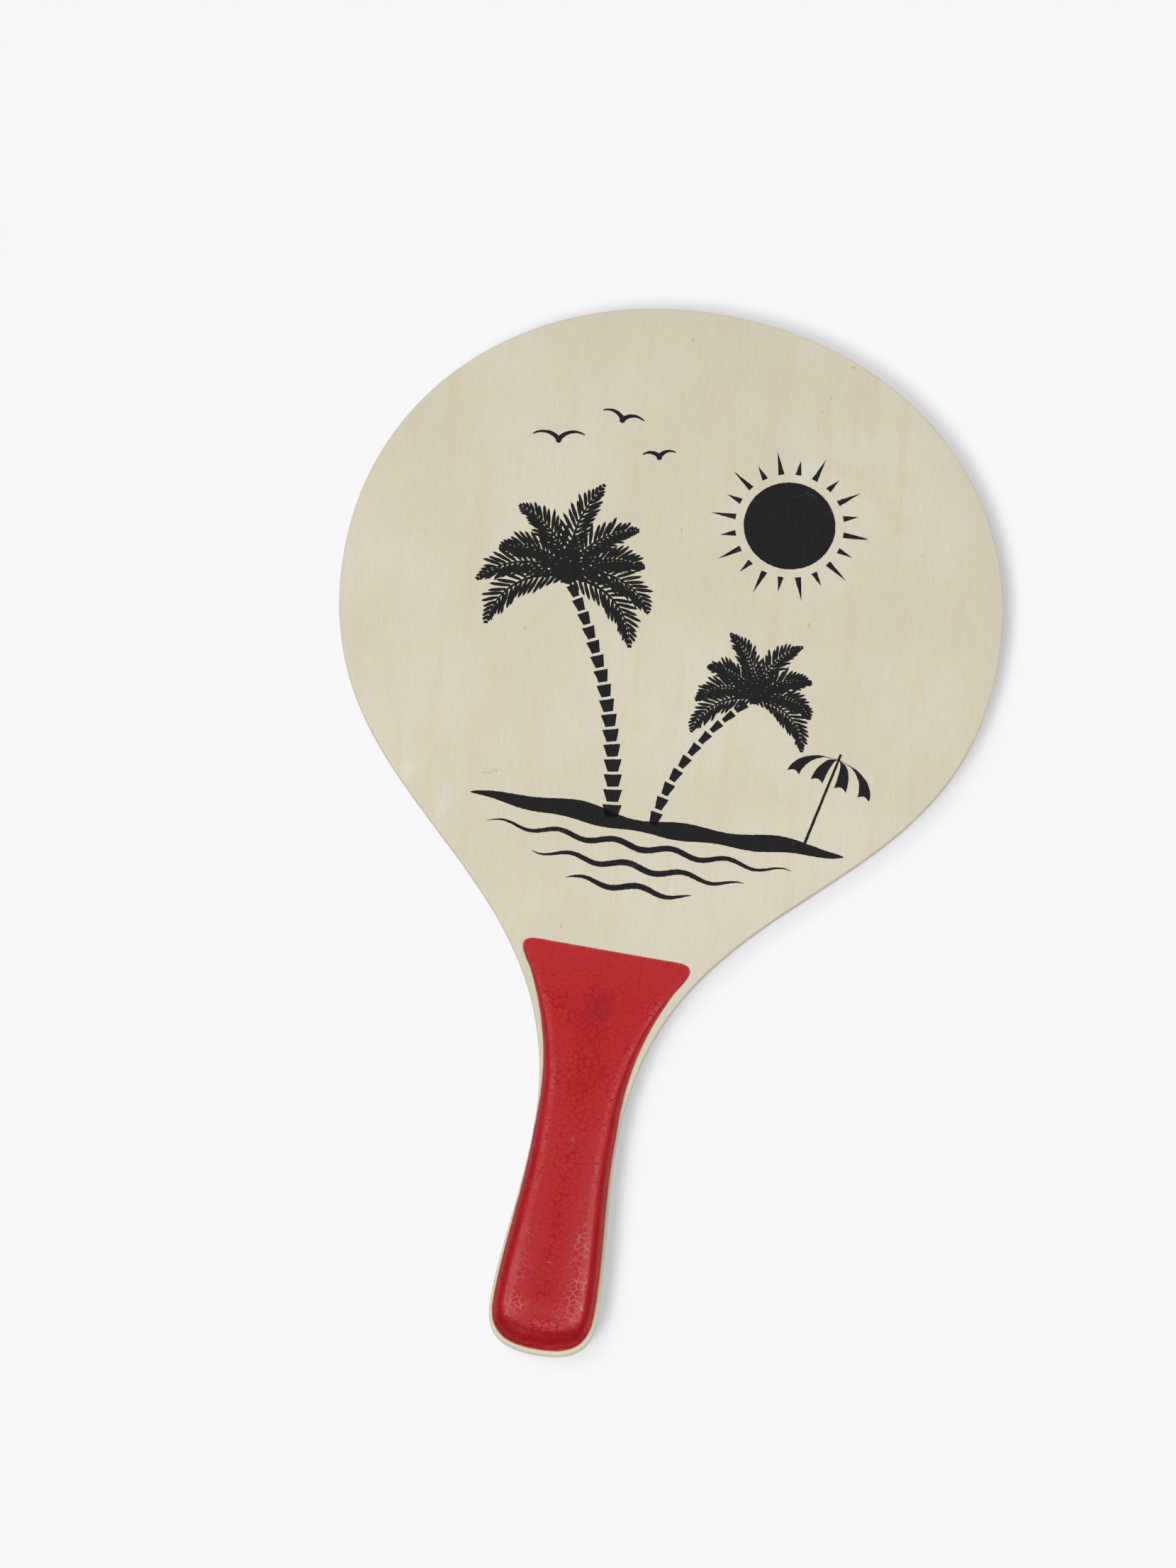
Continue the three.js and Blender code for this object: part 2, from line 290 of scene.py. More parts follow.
class Tree:
    """A shader or geometry node tree that is written as expressions."""

    def __init__(self, tree):
        self.tree = tree

    def node(self, kind, settings=None, values=None, out=0):
        """Adds a node, sets its settings and then its sockets, and gives one of its outputs."""
        made = self.tree.nodes.new(kind)
        for name, setting in (settings or {}).items():
            setattr(made, name, setting)
        self.fill(made, values or {})
        return Value(self, made.outputs[out])

    def fill(self, made, values):
        """Links values to a node's sockets, or sets them where they are plain."""
        for key, value in values.items():
            if isinstance(value, Value):
                self.tree.links.new(value.socket, made.inputs[key])
            else:
                made.inputs[key].default_value = value

    def mix(self, share, first, second, blend="MIX"):
        """A blend of two colours."""
        settings = {"data_type": "RGBA", "blend_type": blend}
        colours = [c if isinstance(c, Value) else (*c, 1) for c in (first, second)]
        return self.node("ShaderNodeMix", settings, {0: share, 6: colours[0], 7: colours[1]}, out=2)

    def shaded(self, tint, shade):
        """A colour made darker or lighter by a factor."""
        grey = self.node("ShaderNodeCombineColor", None, {0: shade, 1: shade, 2: shade})
        return self.mix(1.0, tint, grey, "MULTIPLY")

    def vector(self, operation, first, second):
        """Vector maths on two vectors."""
        return self.node("ShaderNodeVectorMath", {"operation": operation}, {0: first, 1: second})

    def scaled(self, vector, factor):
        """A vector times a number."""
        return self.node("ShaderNodeVectorMath", {"operation": "SCALE"}, {0: vector, "Scale": factor})

    def length(self, vector):
        """How long a vector is."""
        return self.node("ShaderNodeVectorMath", {"operation": "LENGTH"}, {0: vector}, out="Value")

    def noise(self, place, size, detail=2.0, roughness=0.5, out="Fac"):
        """Noise whose features are about a given size."""
        values = {"Vector": place, "Scale": 1 / size, "Detail": detail, "Roughness": roughness}
        return self.node("ShaderNodeTexNoise", None, values, out=out)

    def cells(self, place, size, feature="DISTANCE_TO_EDGE", randomness=1.0, dimensions="3D"):
        """Irregular cells of about a given size: how far a place is from a border or from a middle."""
        settings = {"voronoi_dimensions": dimensions, "feature": feature}
        values = {"Vector": place, "Scale": 1 / size, "Randomness": randomness}
        return self.node("ShaderNodeTexVoronoi", settings, values)

    def stretched(self, place, turn, stretch):
        """A place turned about Z, then drawn out along its axes."""
        turned = self.node("ShaderNodeMapping", None, {"Vector": place, "Rotation": (0, 0, turn)})
        return self.vector("DIVIDE", turned, stretch)

    def bump(self, height, strength, distance):
        """A normal bent by a height."""
        values = {"Strength": strength, "Distance": distance, "Height": height}
        return self.node("ShaderNodeBump", None, values, out="Normal")

    def show(self, share, shader, other):
        """Shows a main shader with a share of another."""
        shaders = {0: share, 1: Value(self, shader.outputs[0]), 2: other}
        mixed = self.node("ShaderNodeMixShader", None, shaders)
        self.fill(self.tree.nodes["Material Output"], {"Surface": mixed})


def finish_tree(name):
    """A new material, its tree and its main shader."""
    material = bpy.data.materials.new(name)
    material.use_nodes = True
    shader = material.node_tree.nodes["Principled BSDF"]
    return material, Tree(material.node_tree), shader


# Outlines and meshes

def level_loops(mesh_copy, level):
    """The closed loops of edges where level faces at a height end, longest first."""
    flat = flat_faces(mesh_copy, level)
    rim = dict.fromkeys(e for e in mesh_copy.edges if len({f in flat for f in e.link_faces}) == 2)
    loops = []
    while rim:
        edge, _ = rim.popitem()
        loop = list(edge.verts)
        while onward := next((e for e in loop[-1].link_edges if e in rim), None):
            rim.pop(onward)
            loop.append(onward.other_vert(loop[-1]))
        loops.append(loop[:-1])
    return sorted(loops, key=loop_length, reverse=True)


def flat_faces(mesh_copy, level):
    """The faces that lie level at a height."""
    return {f for f in mesh_copy.faces if all(abs(v.co.z - level) < MERGE_DISTANCE for v in f.verts)}


def one_on(ring):
    """The same closed ring, started one place further on."""
    return ring[1:] + ring[:1]


def loop_length(loop):
    """The length round a closed loop of vertices."""
    return sum((a.co - b.co).length for a, b in zip(loop, one_on(loop)))


def node_copy(node):
    """A merged copy of a CAD node's mesh, whose own triangles are loose."""
    copy = bmesh.new()
    copy.from_mesh(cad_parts[node].data)
    bmesh.ops.remove_doubles(copy, verts=copy.verts, dist=MERGE_DISTANCE)
    return copy


def right_half(loop, centre_x, spacing):
    """Points at an even spacing along a loop's right half, from its top to its bottom."""
    points = np.array([v.co.xy for v in loop])
    top = np.argmax(points[:, 1] - np.abs(points[:, 0] - centre_x) * CENTRE_PULL)
    points = np.roll(points, -top, axis=0)
    bottom = np.argmin(points[:, 1] + np.abs(points[:, 0] - centre_x) * CENTRE_PULL)
    if points[: bottom + 1, 0].mean() < centre_x:
        points = np.roll(points[::-1], 1, axis=0)
        bottom = len(points) - bottom
    before, after = np.roll(points, 1, axis=0), np.roll(points, -1, axis=0)
    step_in = np.linalg.norm(points - before, axis=1)[:, None]
    step_out = np.linalg.norm(after - points, axis=1)[:, None]
    slopes = (points - before) / step_in * step_out + (after - points) / step_out * step_in
    slopes /= step_in + step_out
    shares = np.linspace(0, 1, CURVE_STEPS, endpoint=False)[:, None]
    curves = [
        (2 * shares**3 - 3 * shares**2 + 1) * points[i]
        + (shares**3 - 2 * shares**2 + shares) * slopes[i] * step_out[i]
        + (3 * shares**2 - 2 * shares**3) * points[i + 1]
        + (shares**3 - shares**2) * slopes[i + 1] * step_out[i]
        for i in range(bottom)
    ]
    smooth = np.vstack([*curves, points[bottom : bottom + 1]])
    run = np.concatenate([[0], np.cumsum(np.linalg.norm(np.diff(smooth, axis=0), axis=1))])
    even = np.linspace(0, run[-1], max(int(run[-1] / spacing), 2) + 1)
    half = np.column_stack([np.interp(even, run, column) for column in smooth.T])
    half[[0, -1], 0] = centre_x
    return half


def both_halves(half, centre_x):
    """A closed ring of points from its right half."""
    left = half[1:-1][::-1].copy()
    left[:, 0] = 2 * centre_x - left[:, 0]
    return np.vstack([half, left])


def inward_directions(ring):
    """The direction into a clockwise ring at each of its points."""
    forward = np.roll(ring, -1, axis=0) - np.roll(ring, 1, axis=0)
    forward /= np.linalg.norm(forward, axis=1)[:, None]
    return np.column_stack([forward[:, 1], -forward[:, 0]])


def stray(ring, size, seed):
    """Smooth random numbers from -1 to 1 at the points of a ring, whose features have a size."""
    return np.array([noise.noise(Vector((x / size, y / size, seed))) for x, y in ring])


def add_ring(mesh_copy, ring, heights):
    """Adds a ring of vertices at one height or at a height each."""
    levels = np.broadcast_to(heights, len(ring))
    return [mesh_copy.verts.new((x, y, z)) for (x, y), z in zip(ring, levels)]


def bridge(mesh_copy, rings):
    """Faces between each ring and the next, which has the same count."""
    for lower, upper in zip(rings, rings[1:]):
        for corners in zip(lower, one_on(lower), one_on(upper), upper):
            mesh_copy.faces.new(corners)


def ring_edges(mesh_copy, ring):
    """The edges round a ring of vertices, made where they are missing."""
    return [mesh_copy.edges.get(pair) or mesh_copy.edges.new(pair) for pair in zip(ring, one_on(ring))]


def cap(mesh_copy, rings):
    """Fills the flat area between an outer ring and the rings inside it."""
    edges = [e for ring in rings for e in ring_edges(mesh_copy, ring)]
    bmesh.ops.triangle_fill(mesh_copy, use_beauty=True, use_dissolve=False, edges=edges)


def placed(name, data):
    """A new object in the scene."""
    thing = bpy.data.objects.new(name, data)
    bpy.context.scene.collection.objects.link(thing)
    return thing


def placed_mesh(name, mesh_copy):
    """A new object in the scene from a mesh copy, which is used up."""
    mesh = bpy.data.meshes.new(name)
    mesh_copy.to_mesh(mesh)
    mesh_copy.free()
    return placed(name, mesh)


def finished(piece, material, node=None):
    """Gives an object its material and its place in the frame, on the root and for its node."""
    piece.data.materials.clear()
    piece.data.materials.append(material)
    piece.data.shade_smooth()
    piece.data.set_sharp_from_angle(angle=SMOOTH_ANGLE)
    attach(piece, "root")
    if node:
        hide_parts(node)
    piece.visible_diffuse = False


def grown(source, name, tree_name, build, **inputs):
    """Runs a geometry node tree on an object, and puts the result in its place as a plain mesh."""
    group = bpy.data.node_groups.new(tree_name, "GeometryNodeTree")
    for way in ("INPUT", "OUTPUT"):
        group.interface.new_socket("Geometry", in_out=way, socket_type="NodeSocketGeometry")
    kinds = {float: "NodeSocketFloat", int: "NodeSocketInt", bpy.types.Material: "NodeSocketMaterial"}
    labels = {key: key.replace("_", " ").title() for key in inputs}
    identifiers = {}
    for key, value in inputs.items():
        socket = group.interface.new_socket(labels[key], in_out="INPUT", socket_type=kinds[type(value)])
        identifiers[key] = socket.identifier
    tree = Tree(group)
    entry = group.nodes.new("NodeGroupInput")
    values = {key: Value(tree, entry.outputs[label]) for key, label in labels.items()}
    material = values.pop("material")
    result = build(tree, Value(tree, entry.outputs["Geometry"]), **values)
    result = tree.node("GeometryNodeRealizeInstances", None, {"Geometry": result})
    result = tree.node("GeometryNodeSetMaterial", None, {"Geometry": result, "Material": material})
    tree.fill(group.nodes.new("NodeGroupOutput"), {"Geometry": result})
    modifier = source.modifiers.new(tree_name, "NODES")
    modifier.node_group = group
    for key, value in inputs.items():
        modifier[identifiers[key]] = value
    mesh = bpy.data.meshes.new_from_object(source.evaluated_get(bpy.context.evaluated_depsgraph_get()))
    source.modifiers.remove(modifier)
    bpy.data.objects.remove(source)
    mesh.name = name
    return placed(name, mesh)


# Finishes

# The wood's patterns: how each is drawn out, its size, detail and roughness
FIBRE = ((1, 14, 1), 0.5 * MM, 2.0, 0.6)
CORD = ((1, 12, 1), 2.2 * MM, 2.0, 0.5)
BLOTCH = ((1, 1.6, 1), 14 * MM, 3.0, 0.6)
STREAK = ((1, 10, 1), 7 * MM, 1.0, 0.5)
RAY = ((5, 1, 1), 0.5 * MM, 2.0, 0.5)
KERF = ((1, 1, 9), 0.5 * MM, 3.0, 0.65)
CLOUD_SIZE = 46 * MM

# How much fibre, cord and ray shade the faces, and the kerf the side walls
FACE_SHADES = (0.15, 0.03, 0.08)
KERF_SHADE = 0.5


def wood_finish(name, board, face_grain, shown_face):
    """Bare veneer: a pale figured face, and a sawn side wall that darkens where it is end grain."""
    material, tree, shader = finish_tree(name)
    place = tree.node("ShaderNodeTexCoord", out="Object")
    normal = tree.node("ShaderNodeSeparateXYZ", None, {"Vector": place.part("Normal")})
    wall = normal.part("Z").size().fade(0.45, 0.9)

    def pattern(turn, stretch, size, detail, roughness):
        """One of the wood's patterns, drawn out along a direction."""
        return tree.noise(tree.stretched(place, turn, stretch), size, detail, roughness)

    turned = (FIBRE, CORD, BLOTCH, STREAK, RAY)
    fibre, cord, blotch, streak, ray = (pattern(-board.grain_angle, *shape) for shape in turned)
    kerf = pattern(0, *KERF)
    tint = tree.mix(tree.noise(place, CLOUD_SIZE).step(0.35, 0.7), board.cream, board.pale)
    tint = tint.mixed(streak.step(0.53, 0.7) * 0.5, board.streak)
    tint = tint.mixed(blotch.step(0.5, 0.72) * 0.34, board.streak)
    if shown_face:
        tint = shown_marks(tree, place, tint, board)
    shade = 1 + sum((wave - 0.5) * depth for wave, depth in zip((fibre, cord, ray), FACE_SHADES))
    across = tree.vector("DOT_PRODUCT", place.part("Normal"), face_grain)
    end_grain = across.part("Value").size().step(0.25, 0.95)
    sawn = tree.shaded(tree.mix(end_grain, board.sawn_long, board.sawn_end), 0.75 + kerf * KERF_SHADE)

    height = (fibre * 0.6 + cord * 0.4) * (1 - wall) + kerf * wall
    values = {
        "Base Color": tree.mix(wall, tree.shaded(tint, shade), sawn),
        "Roughness": 0.56 + fibre * 0.12 + wall * 0.14,
        "Specular IOR Level": 0.3,
        "Normal": tree.bump(height, 0.35, 0.08 * MM),
    }
    tree.fill(shader, values)
    return material


# Marks on the front face, in mm: across the blade and down from the tip, with a reach across and along
TAN_FLECKS = (
    (-9.4, 12.2, 0.8, 1.2), (-1.0, 86.9, 0.6, 1.6), (44.9, 25.4, 0.7, 1.6), (42.7, 31.5, 0.5, 0.8),
    (59.3, 84.2, 0.6, 0.9), (88.5, 80.8, 0.6, 0.8), (51.3, 114.8, 0.8, 1.6), (-51.3, 134.5, 0.8, 1.5),
    (-18.7, 244, 0.6, 1.8), (51.2, 12.0, 1.7, 0.9),
)
CHALKY_PATCHES = ((40.3, 56.4, 6, 8), (-69.5, 207.0, 4, 10), (-84.3, 195.6, 3.5, 6))
DARK_NICKS = ((-86.8, 199.8, 0.9, 1.7), (-84.6, 202.0, 0.6, 1.2), (-73.2, 212.6, 0.8, 1.5))
GREY_SMUDGES = ((-53.5, 191.3, 5, 2.2),)
STAINS = ((53.3, 52.3, 6, 4), (60.5, 54.5, 8, 7), (67.0, 58.5, 7, 6), (72.0, 65.0, 6, 6), (79.0, 70.0, 8, 6))
BRUSHING_ANGLE = math.radians(50)


def mark(tree, place, spot):
    """How far outside a mark a point lies, as a share of the mark's reach."""
    across, from_tip, reach_across, reach_along = (v * MM for v in spot)
    offset = tree.vector("SUBTRACT", place, (across, TIP_Y - from_tip, FRONT_FACE_Z))
    return tree.length(tree.vector("DIVIDE", offset, (reach_across, reach_along, 1)))


def shown_marks(tree, place, tint, board):
    """The rubbed patches, smudges and flecks that the front face has picked up."""
    uneven = (tree.noise(place, 3 * MM, 3.0) - 0.5) * 0.9
    brushed = tree.noise(tree.stretched(place, BRUSHING_ANGLE, (8, 1, 1)), 0.7 * MM).step(0.3, 0.7)
    gritty = tree.noise(place, 0.9 * MM).step(0.52, 0.66)
    # Each kind: its spots, how frayed they are, where they are full and gone, their share and colour
    for spots, frayed, full, gone, share, dirt in (
        (STAINS, uneven, 0.1, 1.15, 0.26, board.stain),
        (CHALKY_PATCHES, uneven, 0.1, 1.15, 0.2 + brushed * 0.25, board.chalk),
        (TAN_FLECKS, uneven * 0.6, 0.25, 1.0, 0.45, board.fleck),
        (DARK_NICKS, uneven, 0.3, 0.9, 0.75, board.nick),
        (GREY_SMUDGES, 0, 0.3, 1.1, gritty * 0.4, board.smudge),
    ):
        for spot in spots:
            near = (mark(tree, place, spot) + frayed).fade(full, gone)
            tint = tint.mixed(near * share, dirt)
    dots = tree.cells(place, 9 * MM, "F1")
    few = tree.node("ShaderNodeSeparateColor", None, {0: dots.part("Color")}, out="Red").step(0.76, 0.79)
    return tint.mixed(dots.fade(0.02, 0.07) * few * 0.3, board.fleck)


def leather_cells(tree, place, size, seed):
    """The cells of the leather grain: how far a place is from a border, and from its cell's middle."""
    moved = tree.vector("ADD", place, tree.node("ShaderNodeCombineXYZ", None, {0: seed, 1: seed}))
    bend = tree.vector("SUBTRACT", tree.noise(moved, size * 1.1, 1.0, out="Color"), (0.5, 0.5, 0.5))
    moved = tree.vector("ADD", moved, tree.scaled(bend, size * 0.65))
    return [tree.cells(moved, size, feature, 0.93, "2D") for feature in ("DISTANCE_TO_EDGE", "F1")]


def cobbles(border, middle, least):
    """How much a place belongs to the borders of rounded cells, which widen where three cells meet."""
    width = least + middle.step(0.42, 0.72) * 0.1
    return (border / width).fade(0.3, 1.3)


# Sunk marks over the bosses, in mm: across and along the grip, with a reach and a strength
SINK_MARKS = ((0.4, -72.5, 8.0, 1.0), (-0.7, -124, 5, 0.35), (-1.6, -176, 7, 0.3))

# Where the plastic ran into the mould, and a nick in it: across and along, in mm, and their sizes
GATE_MARK = (-0.7, -123.1)
GATE_RADIUS = 0.62 * MM
NICK = (-1.0, -168.7)
NICK_REACH = (1.1 * MM, 0.28 * MM)

# Between which places along the grip, or up its side, each mask fades
BELOW_TOP = (3 * MM, 22 * MM)
AT_BUTT = (-166 * MM, -118 * MM)
AT_END = (6 * MM, 12 * MM)
LOW_ON_THE_SIDE = (0.4, 0.8)
CREASES_START_Y = -75 * MM

# The power of the side's height that the weight of the crown grows with
CROWN_POWER = 6


def plastic_finish(name, grip):
    """Red moulded plastic: satin cells, glossy valleys between them, and dull crackled sides."""
    material, tree, shader = finish_tree(name)
    at = grip_place(tree)
    valley, crackle = grain_valleys(tree, at, grip), side_crackle(tree, at)
    tint, ring = moulding_marks(tree, at, grip, red_tint(tree, at, grip, valley, crackle))
    tint = edge_lips(tree, at, grip, tint)
    pits = tree.noise(at.place, 0.5 * MM)
    bump = tree.bump((1 - valley) * 0.3 + pits * 0.3 + ring * 0.6 - crackle, 0.35, 0.04 * MM)
    values = {
        "Base Color": tint,
        "Roughness": 0.4 - valley * 0.22 + (at.mottle - 0.5) * 0.1,
        "Specular IOR Level": 0.22,
        "Coat Weight": valley * 0.88,
        "Coat Roughness": 0.16,
        "Normal": bump,
    }
    tree.fill(shader, values)
    matt = {"Base Color": tint, "Roughness": 1.0, "Specular IOR Level": 0.0, "Normal": bump}
    dull = at.up.fade(*LOW_ON_THE_SIDE).at_least(at.end * 0.85)
    tree.show(dull, shader, tree.node("ShaderNodeBsdfPrincipled", None, matt))
    return material


def grip_place(tree):
    """Where a point lies on the grip, and the masks that fade over its crown, top and butt."""
    place = tree.node("ShaderNodeTexCoord", out="Object")
    parts = tree.node("ShaderNodeSeparateXYZ", None, {"Vector": place})
    x, y = parts.part("X"), parts.part("Y")
    weight = tree.node("ShaderNodeAttribute", {"attribute_name": "crown"}, out="Fac")
    crown = weight.at_most(1)
    wander = (tree.noise(place, 9 * MM) - 0.5) * 8 * MM
    return SimpleNamespace(
        place=place,
        x=x,
        y=y,
        z=parts.part("Z"),
        weight=weight,
        crown=crown,
        up=crown ** (1 / CROWN_POWER),
        from_top=GRIP_TOP_Y - y,
        below_top=(GRIP_TOP_Y - y).step(*BELOW_TOP),
        at_butt=y.fade(*AT_BUTT),
        end=(y - GRIP_END_Y).fade(*AT_END),
        stripe=(x - GRIP_CENTRE_X + wander).size().fade(2 * MM, 8 * MM),
        bold=tree.noise(place, 7 * MM).step(0.36, 0.62),
        mottle=tree.noise(place, 6 * MM, 3.0, 0.6),
    )


def grain_valleys(tree, at, grip):
    """The valleys between the grain's cells: bold along the centreline, faint near the top edge."""
    strength = (at.bold * 0.6 + 0.4).at_least(at.stripe * 0.9) * (0.5 + at.below_top * 0.5)
    cells = leather_cells(tree, at.place, grip.cell_size, grip.grain_seed)
    lines = cobbles(*cells, 0.045 + tree.noise(at.place, 2.5 * MM) * 0.05)
    valley = lines * strength * at.crown.step(0.3, 1.0)
    small_cells = leather_cells(tree, at.place, grip.cell_size / 2, grip.grain_seed + 1)
    small = cobbles(*small_cells, 0.03) * tree.noise(at.place, 5 * MM).step(0.46, 0.6)
    return valley.at_least(small * 0.4 * at.crown * at.below_top)


def side_crackle(tree, at):
    """The fine cracks that the grain turns into down the sides."""
    bend = tree.scaled(tree.noise(at.place, 1.3 * MM, out="Color"), 1.4 * MM)
    scales = tree.vector("DIVIDE", tree.vector("ADD", at.place, bend), (1, 1.6, 1))
    patches = tree.noise(at.place, 2.6 * MM).step(0.3, 0.55)
    return tree.cells(scales, 1.25 * MM).fade(0.03, 0.18) * (1 - at.crown * 0.9) * patches


def red_tint(tree, at, grip, valley, crackle):
    """The red of the plastic: deeper in the valleys, with painted shade down the sides, in the creases and on
    the butt, painted sheen on the crown, painted highlights and glints along the shoulders, and painted light
    low on the sides.
    """
    # Deep red in the valleys, and painted shade down the steep sides
    tint = tree.mix(valley.at_least((1 - at.crown) * 0.9), grip.red, grip.deep_red_and_shade)
    # Painted sheen on the crown, strongest near the top and none at the butt
    tint = tint.mixed((0.3 - at.below_top * 0.12) * (1 - at.at_butt) * at.crown, grip.rubbed)
    # Darker towards the butt
    tint = tint.mixed(at.at_butt * at.crown * 0.25, grip.deep_red_and_shade)
    to_the_right = (at.x - GRIP_CENTRE_X).step(-10 * MM, 10 * MM)
    # Painted light low on the sides, where the matt shader leaves no reflection; paler on the right, where
    # the lamp on the right falls
    tint = tint.mixed(at.up.fade(*LOW_ON_THE_SIDE) * 0.8, tree.mix(to_the_right, grip.rubbed, grip.lit_side))
    # Painted shade on the rounded butt
    tint = tint.mixed(at.end * 0.55, grip.butt)
    tint = tint.mixed(crackle * 0.65, grip.crack)
    # Painted highlight along the shoulder ridge
    shoulder = at.weight.step(0.7, 0.93) * at.weight.fade(0.98, 1.14) * at.below_top
    tint = tint.mixed(shoulder * (0.4 + at.bold * 0.45) * (1 - valley), grip.rubbed)
    # Painted shade in the creases down the middle
    creases = tree.noise(tree.stretched(at.place, 0, (1, 9, 1)), 1.1 * MM, 3.0).step(0.5, 0.7)
    down = CREASES_START_Y - at.y
    creases = creases * at.stripe * down.step(0, 10 * MM) * down.fade(28 * MM, 45 * MM)
    tint = tint.mixed(creases * 0.5, grip.deep_red_and_shade)
    # Painted glints along the shoulders
    glints = tree.noise(at.place, 0.7 * MM).step(0.62, 0.7) * at.mottle.step(0.45, 0.6)
    on_shoulder = at.weight.step(0.6, 0.9) * at.weight.fade(1.0, 1.1)
    tint = tint.mixed(glints * on_shoulder * 0.7, grip.glint_speck)
    return tint.mixed(at.stripe * at.mottle.step(0.42, 0.75) * 0.3, grip.deep_red_and_shade)


def moulding_marks(tree, at, grip, tint):
    """The mould's marks on the tint: sunk skin over the bosses, the gate's ring and a nick; and that ring."""

    def away_from(across, along, reach_across=1, reach_along=1):
        """How far a point lies from a mark, against the mark's reach."""
        offset = {0: (at.x - across * MM) / reach_across, 1: (at.y - along * MM) / reach_along}
        return tree.length(tree.node("ShaderNodeCombineXYZ", None, offset))

    scuffed = tree.noise(at.place, 1.1 * MM, 3.0, 0.65).step(0.32, 0.66)
    for across, along, reach, depth in SINK_MARKS:
        near = away_from(across, along).fade(reach * 0.1 * MM, reach * MM)
        tint = tint.mixed(near * scuffed * depth, grip.smudge)
    from_gate = away_from(*GATE_MARK)
    ring = (from_gate - GATE_RADIUS).size().fade(0.08 * MM, 0.3 * MM)
    tint = tint.mixed(ring * 0.3, grip.gate)
    tint = tint.mixed(from_gate.fade(0.5 * MM, 2.4 * MM) * scuffed * 0.5, grip.rubbed)
    tint = tree.shaded(tint, 0.94 + at.mottle * 0.12)
    nick = away_from(*NICK, *NICK_REACH).fade(0.5, 1.0)
    return tint.mixed(nick * 0.85, grip.foot), ring


def edge_lips(tree, at, grip, tint):
    """The tint with a painted orange glow along the lip where the plastic meets the wood, and a painted
    highlight along the rim of the top edge.
    """
    above_board = (at.z - (FRONT_FACE_Z + BACK_FACE_Z) / 2).size() - (FRONT_FACE_Z - BACK_FACE_Z) / 2
    # Painted glow along the lip: the orange of light through the thin plastic edge
    uneven = (tree.noise(at.place, 1.2 * MM) - 0.5) * 0.3 * MM
    broken = tree.noise(at.place, 4 * MM).step(0.34, 0.62) * 0.4
    lip = (above_board + uneven).fade(0.2 * MM, 0.42 * MM) * (0.4 + at.at_butt * 0.2 + broken)
    tint = tint.mixed(lip, tree.mix(at.at_butt, grip.lip, grip.foot))
    # Painted highlight along the rim of the top edge
    rim = at.from_top.fade(2.5 * MM, 5 * MM) * at.weight.fade(0.9, 1.04)
    tint = tint.mixed(rim * 0.55, grip.top_rim_highlight)
    # Painted highlight on the thin top edge itself
    edge = at.from_top.fade(1.5 * MM, 3 * MM) * at.weight.fade(0.02, 0.3)
    return tint.mixed(edge * 0.8, grip.top_edge_highlight)


# Pieces

def rim_levels(low, high, board, eased):
    """The insets and heights up a ply's side wall, with the rim on one side eased."""
    groove, ease = board.glue_groove, board.edge_ease
    levels = [(groove, low), (0, low + groove * 1.5), (0, high - groove * 1.5), (groove, high)]
    turns = [math.radians(a) for a in (0, 22.5, 45, 67.5, 90)]
    curve = [(ease * (1 - math.cos(a)), ease * (1 - math.sin(a))) for a in turns]
    if eased == "front":
        levels[2:] = [(inset, high - drop) for inset, drop in curve]
    if eased == "back":
        levels[:2] = [(inset, low + drop) for inset, drop in reversed(curve)]
    return levels


# Chips out of the front rim, in mm: across the blade and down from the tip, with a reach and a depth
RIM_CHIPS = ((51.7, 11.2, 1.6, 0.45), (-87.3, 199.4, 1.0, 0.5), (-73.6, 212.2, 0.9, 0.4))

# How the saw strayed through all the plies: a wave's size, its seed and its share
SAW_WAVES = ((9 * MM, 1, 0.7), (2.2 * MM, 2, 0.3))


def sawn_ply(node, name, board, material, eased=None):
    """One ply of the board, sawn to the outline and drilled for the grip's pegs."""
    low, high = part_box(node)
    source = node_copy(node)
    outer, *holes = level_loops(source, high.z)
    outline = both_halves(right_half(outer, 0, board.rim_spacing), 0)
    inward = inward_directions(outline)
    rough = sum(stray(outline, size, seed) * share for size, seed, share in SAW_WAVES)
    own = stray(outline, 3 * MM, 3 + high.z / MM) * 0.25
    inset = board.saw_wander * (1 + rough + own)
    if eased == "front":
        for chip in RIM_CHIPS:
            across, from_tip, reach, depth = (v * MM for v in chip)
            away = np.linalg.norm(outline - (across, TIP_Y - from_tip), axis=1)
            inset = inset + depth * np.clip(1 - away / reach, 0, 1) ** 0.5
    made = bmesh.new()
    levels = rim_levels(low.z, high.z, board, eased)
    walls = [[add_ring(made, outline + inward * (inset + extra)[:, None], z) for extra, z in levels]]
    walls += [[add_ring(made, [v.co.xy for v in hole], z) for z in (low.z, high.z)] for hole in holes]
    for wall in walls:
        bridge(made, wall)
    for end in (0, -1):
        cap(made, [wall[end] for wall in walls])
    bmesh.ops.recalc_face_normals(made, faces=made.faces)
    source.free()
    finished(placed_mesh(name, made), material, node)


def shoulder_height(y, grip, full):
    """The height of the shoulders above the board at places along the grip."""
    share = np.clip((GRIP_TOP_Y - y) / grip.rise_length, 0, 1)
    return grip.top_height + (full - grip.top_height) * np.sin(share * math.pi / 2)


def side_width(y, grip):
    """The width of the sloping side at full height, which grows round the butt."""
    share = np.clip((y - GRIP_END_Y) / grip.end_reach, 0, 1)
    return grip.end_width + (grip.side_width - grip.end_width) * share**2 * (3 - 2 * share)


# How the side bends from its foot to its shoulder: a curve's two handles, as shares of width and height
SIDE_SHARES = ((0, 0.8), (0.3, 0.95))


def side_bend(t):
    """The share of the side's width and of its height at a step along its curve."""
    shares = (3 * (1 - t) ** 2 * t, 3 * (1 - t) * t**2)
    return [shares[0] * foot + shares[1] * shoulder + t**3 for foot, shoulder in zip(*SIDE_SHARES)]


# The foot line's unevenness, as a size and a seed, and how high its lip rises for its width
FOOT_WAVES = (3.5 * MM, 5)
LIP_RISE = 0.7


